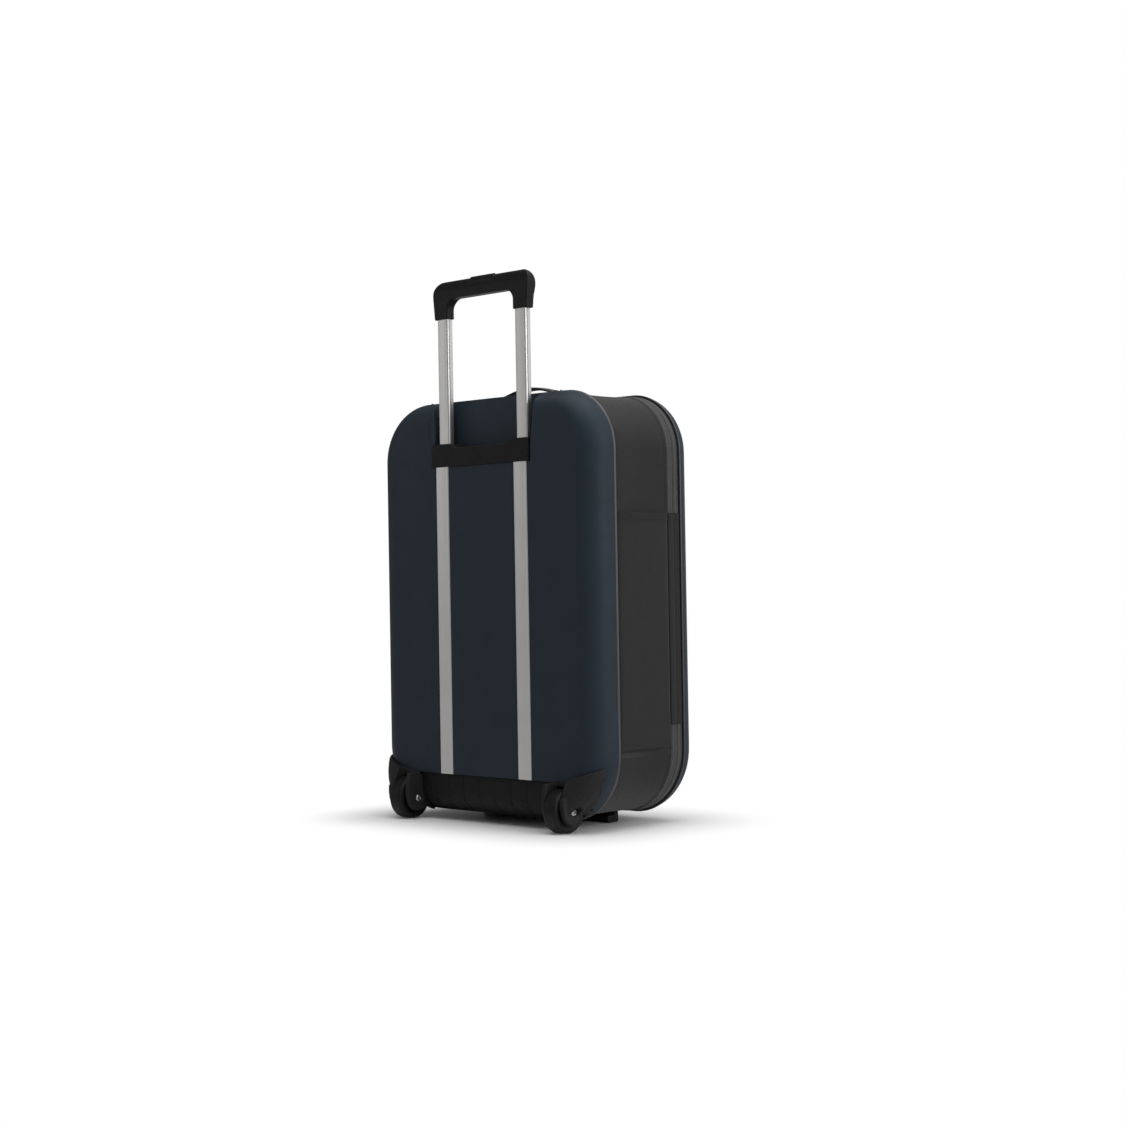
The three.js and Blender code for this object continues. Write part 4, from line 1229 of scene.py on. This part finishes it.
def grip_field(x, y, z):
    """The bar and its two legs, hollow for the rods, with a slot for the button and sockets for the tubes."""
    size = np.abs(x)
    lean = GRIP_HALF - 3 * np.clip((GRIP_TOP - 18 - z) / 32, 0, 1)
    outside = corner_distance(size, z, lean, GRIP_TOP, 15)
    away = corner_distance(size, z, LEG_IN, GRIP_UNDER, 14)
    tuck = np.clip((WIDEST - 3 - z) / 16, 0, 1)
    front = np.minimum(crest_half(z), GRIP_HALF_DEPTH - 2.2 * tuck * tuck * (3 - 2 * tuck))
    faces = np.maximum(y - GRIP_Y - front, GRIP_Y - y - crest_half(z)) * 0.85
    solid = round_max(round_max(outside, faces, 0.7), -away, 1.8)
    solid = round_max(solid, grip_low[2] - z, 0.8)
    hollow = box_field(x, y, z, (-80, GRIP_Y - 4.7, GRIP_UNDER + 4), (80, GRIP_Y + 4.7, GRIP_TOP - 9), 0.3)
    slot = box_field(
        x, y, z, (-BUTTON_HALF - 0.8, GRIP_Y - 4.9, GRIP_TOP - 10),
        (BUTTON_HALF + 0.8, GRIP_Y + 4.9, GRIP_TOP + 20), 0.3,
    )
    socket = box_field(
        size, y, z, (TUBE_X - 9.8, BACK + 4.9, 600), (TUBE_X + 9.8, BACK + 15.1, GRIP_UNDER + 3), 0.3,
    )
    return np.maximum(solid, -np.minimum(np.minimum(hollow, slot), socket))


grip = skin("grip_moulding", grip_field, grip_low, grip_high, 0.7, GRIP)
place(grip, "trolley", "grip_black", "grip")


# %% release button
def button_field(x, y, z):
    """The cap that shows in the bar's crest, and the yoke below it that pushes both rods."""
    ends = (np.abs(x) - BUTTON_HALF) + 0.25 * (z - GRIP_TOP + 6)
    sides = np.abs(y - GRIP_Y) - np.minimum(4.25, crest_half(z, 1.4))
    ends_and_floor = np.maximum(ends, (GRIP_TOP - 12) - z)
    cap = round_max(sides * 0.85, round_max(ends_and_floor, z - button_high[2], 0.8), 0.6)
    yoke = box_field(x, y, z, button_low + 0.01, (button_high[0], button_high[1], button_low[2] + 4.5), 0.5)
    return np.minimum(cap, yoke)


button = skin("release_button_cap", button_field, button_low, button_high, 0.6, GRIP)
place(button, "release", "grip_black", "release_button")

# %% [markdown]
# The carry handle on top is a short sleeve of webbing over soft foam. It lies almost flat
# and bows up in the middle, so a hand can pass under it when it is pulled. Its two ends
# are flat and sewn down. It is built from sections along its length: thin and flat at the
# ends, rounder where the foam is.

# %% carry handle
handle_low, handle_high = span("top_handle")
HANDLE_Y = (handle_low[1] + handle_high[1]) / 2


def carry_handle(stations=90, around=28):
    """The sleeve, section after section along x."""
    x = np.linspace(handle_low[0], handle_high[0], stations)
    rise = np.where(np.abs(x) < 76, (1 + np.cos(math.pi * x / 76)) / 2, 0) ** 0.7
    thick = 1.2 + 0.75 * np.clip((86 - np.abs(x)) / 20, 0, 1)
    half = (handle_high[1] - handle_low[1]) / 2 - 1.6 * rise
    middle = handle_low[2] + thick + (handle_high[2] - handle_low[2] - 2 * thick) * rise
    turn = np.linspace(0, 2 * math.pi, around, endpoint=False)
    across = np.sign(np.cos(turn)) * np.abs(np.cos(turn)) ** 0.5
    up_down = np.sign(np.sin(turn)) * np.abs(np.sin(turn)) ** 0.8
    y = HANDLE_Y + half[:, None] * across[None, :]
    z = middle[:, None] + thick[:, None] * up_down[None, :]
    points = np.stack([np.repeat(x[:, None], around, 1), y, z], 2).reshape(-1, 3)
    faces = grid_faces(stations, around, round_columns=True).tolist()
    faces += [list(range(around))[::-1], list(range((stations - 1) * around, stations * around))]
    chart = np.stack([points[:, 0], points[:, 1] + points[:, 2]], 1)
    return made_piece("carry_handle_sleeve", points, faces, WEBBING, chart, sharp=60)


handle = carry_handle()
place(handle, "carry_handle", "webbing", "top_handle")

# %% foot bar and hoop
refined("foot_bar", "foot_bar_moulding", "front_frame", "moulded_black", NYLON, 1.0, 3)
refined("front_hoop", "front_hoop_strip", "front_frame", "moulded_black", NYLON, 0)

# %% [markdown]
# Inside, a thin lining hangs flat over the rails and steps forward over the wheel wells.
# The lid has a divider panel with a bound edge. Both are flat cloths in the shape of the
# case, made as rings drawn in from the outline. Two straps cross the lining, each with a
# snap buckle.

# %% lining, divider and straps
def case_cloth(name, inset, face_of, back, finish, rings=22, count=180):
    """A closed cloth in the outline of the case. face_of(x, z, inside) gives its face in y."""
    ring, _, _ = outline_at(np.linspace(0, PERIMETER, count, endpoint=False), inset)
    middle = np.array([0, (TOP + BOTTOM) / 2])
    share = np.concatenate([1 - quarter_steps(0.05, 6), np.linspace(0.93, 0, rings)])
    xz = middle + (ring - middle)[None] * share[:, None, None]
    x, z = xz[..., 0], xz[..., 1]
    y = face_of(x, z, depth_inside(x, z) - inset)
    rows = len(share)
    front = np.stack([x, y, z], 2).reshape(-1, 3)
    behind = front + np.array([0, back, 0])
    face = grid_faces(rows, count, round_columns=True)
    outer = np.arange(count)
    following = np.roll(outer, -1)
    side = np.stack([outer, following, following + rows * count, outer + rows * count], 1)
    faces = np.concatenate([face, face[:, ::-1] + rows * count, side])
    chart = np.tile(np.stack([x, z], 2).reshape(-1, 2), (2, 1))
    return made_piece(name, np.concatenate([front, behind]), faces, finish, chart, 50)


lining_low, lining_high = span("back_lining")


def lining_face(x, z, inside):
    """Flat over the rails, forward over the wheel wells, softly uneven, with a turned edge."""
    step = np.clip((58 - z) / 22, 0, 1)
    waves = 0.35 * np.sin(x / 37 + 0.6 * np.sin(z / 52)) * np.sin(z / 61 + 1.0) * np.clip(inside / 30, 0, 1)
    forward = 7.6 * step * step * (3 - 2 * step)
    return lining_low[1] + 0.4 + forward + waves + 0.5 / (1 + np.exp((inside - 9) / 0.6))


lining = case_cloth("back_lining_cloth", 6, lining_face, 1.0, LINING)
place(lining, "case_back", "lining_fabric", "back_lining")

divider_low, divider_high = span("divider_panel")


def divider_face(x, z, inside):
    """A taut panel with a bound edge, and the welt of its own zip across the top."""
    binding = 0.6 / (1 + np.exp((inside - 11) / 0.6))
    welt = 0.7 * np.exp(-((z - 486) / 3.2) ** 2) * (np.abs(x) < 150)
    return divider_low[1] + 0.75 - binding - welt + 0.2 * np.sin(x / 43) * np.sin(z / 57)


divider = case_cloth("divider_panel_cloth", 5, divider_face, 0.75, LINING, rings=60)
place(divider, "lid", "lining_fabric", "divider_panel")

for which in ("upper", "lower"):
    low, high = span(f"packing_strap_{which}")
    tx, tz = np.meshgrid(np.linspace(0, 1, 120), np.linspace(0, 1, 14), indexing="ij")
    x, z = low[0] + (high[0] - low[0]) * tx, low[2] + (high[2] - low[2]) * tz
    fold = 0.45 / (1 + np.exp((155 - np.abs(x)) / -0.5))
    selvedge = 0.3 * np.abs(2 * tz - 1) ** 10
    y = high[1] + 0.5 - fold - selvedge
    outer = np.stack([x, y, z], 2)
    strap = cloth_panel(
        f"packing_strap_{which}_webbing", outer, (0, low[1] - high[1] + 0.2, 0), np.stack([x, z], 2), WEBBING,
    )
    place(strap, "case_back", "webbing", f"packing_strap_{which}")


def buckle(which):
    """A snap buckle: a low rounded body with a raised middle, two strap bars and two side clips."""
    low, high = span(f"strap_buckle_{which}")
    middle = (low + high) / 2
    half = (high - low) / 2

    def field(x, y, z):
        u, w = np.abs(x - middle[0]), z - middle[2]
        top = high[1] - 1.6 * np.clip((u - 16) / 10, 0, 1) - 0.9 * (w / half[2]) ** 2
        shape = corner_distance(u, np.abs(w), half[0], half[2], 6)
        body = round_max(shape, np.maximum(y - top, low[1] - y), 1.2)
        window = np.maximum(np.abs(u - 24.5) - 2.6, np.abs(w) - 19.6)
        clip = np.maximum(np.maximum(np.abs(u - 9) - 5, 17 - np.abs(w)), low[1] + 4 - y)
        return np.maximum(body, -np.minimum(window, clip))

    obj = skin(f"strap_buckle_{which}_moulding", field, low, high, 0.8, NYLON)
    place(obj, "case_back", "moulded_black", f"strap_buckle_{which}")


for which in ("upper", "lower"):
    buckle(which)
    refined(f"zip_slider_{which}", f"zip_slider_{which}_cast", f"slider_{which}", "zinc_alloy", ZINC, 0.3)
    refined(f"pull_tab_{which}", f"pull_tab_{which}_cast", f"tab_{which}", "zinc_alloy", ZINC, 0.4, 3)

# %% [markdown]
# Zip coils and stitches repeat hundreds of times along a path. One node tree serves both:
# it walks a path at a pitch, sets a small ellipsoid on every point in line with the path,
# and varies each a little from a fixed seed. Each result becomes a plain mesh for one body.

# %% repeated small parts
def repeat_tree(pivot):
    """Places ellipsoids along a path. Sizes are inputs, in metres."""
    tree = bpy.data.node_groups.new(f"repeat_along_{pivot}", "GeometryNodeTree")
    sockets = {}
    for title, kind, value in (
        ("Path", "NodeSocketGeometry", None), ("Pitch", "NodeSocketFloat", 0.003),
        ("Size", "NodeSocketVector", (0.002, 0.001, 0.001)), ("Variation", "NodeSocketFloat", 0.1),
        ("Seed", "NodeSocketInt", 7), ("Finish", "NodeSocketMaterial", None),
    ):
        socket = tree.interface.new_socket(name=title, in_out="INPUT", socket_type=kind)
        if value is not None:
            socket.default_value = value
        sockets[title] = socket.identifier
    tree.interface.new_socket(name="Parts", in_out="OUTPUT", socket_type="NodeSocketGeometry")
    given = tree.nodes.new("NodeGroupInput").outputs
    curve = add(tree, "GeometryNodeMeshToCurve", None, Mesh=given["Path"])
    walk = add(
        tree, "GeometryNodeResampleCurve", {"mode": "LENGTH"}, Curve=curve.outputs[0], Length=given["Pitch"],
    )
    ball = add(tree, "GeometryNodeMeshUVSphere", None, Segments=8, Rings=5, Radius=0.5)
    tangent = add(tree, "GeometryNodeInputTangent")
    align = add(
        tree, "FunctionNodeAlignRotationToVector", {"axis": "X", "pivot_axis": pivot},
        Vector=tangent.outputs[0],
    )
    least = add(tree, "ShaderNodeMath", {"operation": "SUBTRACT"}, n0=1.0, n1=given["Variation"])
    most = add(tree, "ShaderNodeMath", {"operation": "ADD"}, n0=1.0, n1=given["Variation"])
    vary = add(
        tree, "FunctionNodeRandomValue", {"data_type": "FLOAT"}, n2=least.outputs[0], n3=most.outputs[0],
    )
    tree.links.new(given["Seed"], vary.inputs["Seed"])
    scale = add(tree, "ShaderNodeVectorMath", {"operation": "SCALE"}, n0=given["Size"])
    tree.links.new(vary.outputs[1], scale.inputs["Scale"])
    put = add(
        tree, "GeometryNodeInstanceOnPoints", None, Points=walk.outputs[0], Instance=ball.outputs[0],
        Rotation=align.outputs[0], Scale=scale.outputs[0],
    )
    real = add(tree, "GeometryNodeRealizeInstances", None, Geometry=put.outputs[0])
    smooth = add(tree, "GeometryNodeSetShadeSmooth", None, Geometry=real.outputs[0])
    painted = add(tree, "GeometryNodeSetMaterial", None, Geometry=smooth.outputs[0], Material=given["Finish"])
    out = tree.nodes.new("NodeGroupOutput")
    tree.links.new(painted.outputs[0], out.inputs["Parts"])
    return tree, sockets


TREES = {pivot: repeat_tree(pivot) for pivot in ("Y", "AUTO")}


def repeated(name, paths, pitch, size, finish, body, pivot="Y", variation=0.08, seed=7):
    """Small parts along paths of points in millimetres, as one mesh for one body."""
    mesh = bpy.data.meshes.new(name + "_path")
    points, edges = [], []
    for path in paths:
        start = len(points)
        points += (np.asarray(path) * MM).tolist()
        edges += [(i, i + 1) for i in range(start, len(points) - 1)]
    mesh.from_pydata(points, edges, [])
    obj = bpy.data.objects.new(name, mesh)
    bpy.context.scene.collection.objects.link(obj)
    tree, sockets = TREES[pivot]
    walker = obj.modifiers.new("repeat", "NODES")
    walker.node_group = tree
    walker[sockets["Pitch"]] = pitch * MM
    walker[sockets["Size"]] = [v * MM for v in size]
    walker[sockets["Variation"]] = variation
    walker[sockets["Seed"]] = seed
    walker[sockets["Finish"]] = finish
    settle(obj)
    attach(obj, body)
    print(f"{name}: {len(obj.data.polygons)} faces on {body}")
    return obj


def case_path(inset, y, start=0.0, end=None, step=4.0):
    """Points round the case at one depth; closed when no end is given."""
    stop = PERIMETER if end is None else end
    s = np.linspace(start, stop, int((stop - start) / step))
    xz, _, _ = outline_at(s, inset)
    return np.stack([xz[:, 0], np.full(len(s), y), xz[:, 1]], 1)


# %% coils and stitches
COIL_PITCH = 2.0
for name, body, side, start in (
    ("zip_coil_rear", "front_frame", -1, 0.0),
    ("zip_coil_front", "lid", 1, COIL_PITCH / 2),
):
    path = case_path(TAPE_INSET + 1.95, ZIP_LINE + side * 1.0, ZIP_FROM + start + 1, ZIP_TO - 3 + start)
    repeated(name, [path], COIL_PITCH, (0.95, 3.4, 1.1), COIL, body, variation=0.03)

STITCH = (2.3, 0.5, 0.42)
STITCH_PITCH = 3.1
for name, body, y in (
    ("zip_seam_rear", "front_frame", span("zip_tape_rear")[0][1] + 1.6),
    ("zip_seam_front", "lid", span("zip_tape_front")[1][1] - 1.6),
):
    path = case_path(TAPE_INSET + 0.2, y, ZIP_FROM + 1, ZIP_TO - 1)
    repeated(name, [path], STITCH_PITCH, STITCH, THREAD, body)

gusset_deep = GUSSET_FRONT - GUSSET_BACK
gusset_seams = [
    case_path(GUSSET_INSET + GUSSET_BOW * math.sin(math.pi * t) - 0.1, GUSSET_BACK + gusset_deep * t)
    for t in (0.03, 0.965)
]
folds_with_case(repeated(
    "gusset_seams", gusset_seams, STITCH_PITCH, STITCH, THREAD, "case_back",
))


def pocket_line(ty, tz):
    """Points on the pocket's outer face."""
    y = pocket_low[1] - 1.4 + (pocket_high[1] - pocket_low[1] + 2.8) * ty
    z = pocket_low[2] + pocket_height * tz
    return np.stack([pocket_face(ty, tz, y, z) + 0.05, y, z], 1)


steps = np.linspace(0.03, 0.97, 60)
hem_rows = [pocket_line(steps, np.full(60, 1 - back / pocket_height)) for back in (2.2, 4.6, 7.6)]
side_rows = [pocket_line(np.full(90, at), np.linspace(0.02, 0.99, 90)) for at in (0.035, 0.965)]
folds_with_case(repeated(
    "pocket_seams", hem_rows + side_rows, STITCH_PITCH, STITCH, THREAD, "case_back",
    pivot="AUTO",
))

tab_rows = []
for sign in (-1, 1):
    top = handle_low[2] + 2.3
    a, b = sign * 77, sign * 89
    y0, y1 = HANDLE_Y - 8.4, HANDLE_Y + 8.4
    corners = [(a, y0), (b, y0), (b, y1), (a, y1), (a, y0)]
    for (x0, v0), (x1, v1) in zip(corners[:-1], corners[1:]):
        t = np.linspace(0, 1, 8)
        tab_rows.append(np.stack([x0 + (x1 - x0) * t, v0 + (v1 - v0) * t, np.full(8, top)], 1))
repeated("handle_seams", tab_rows, 2.8, (2.1, 0.5, 0.45), THREAD, "carry_handle", pivot="AUTO")
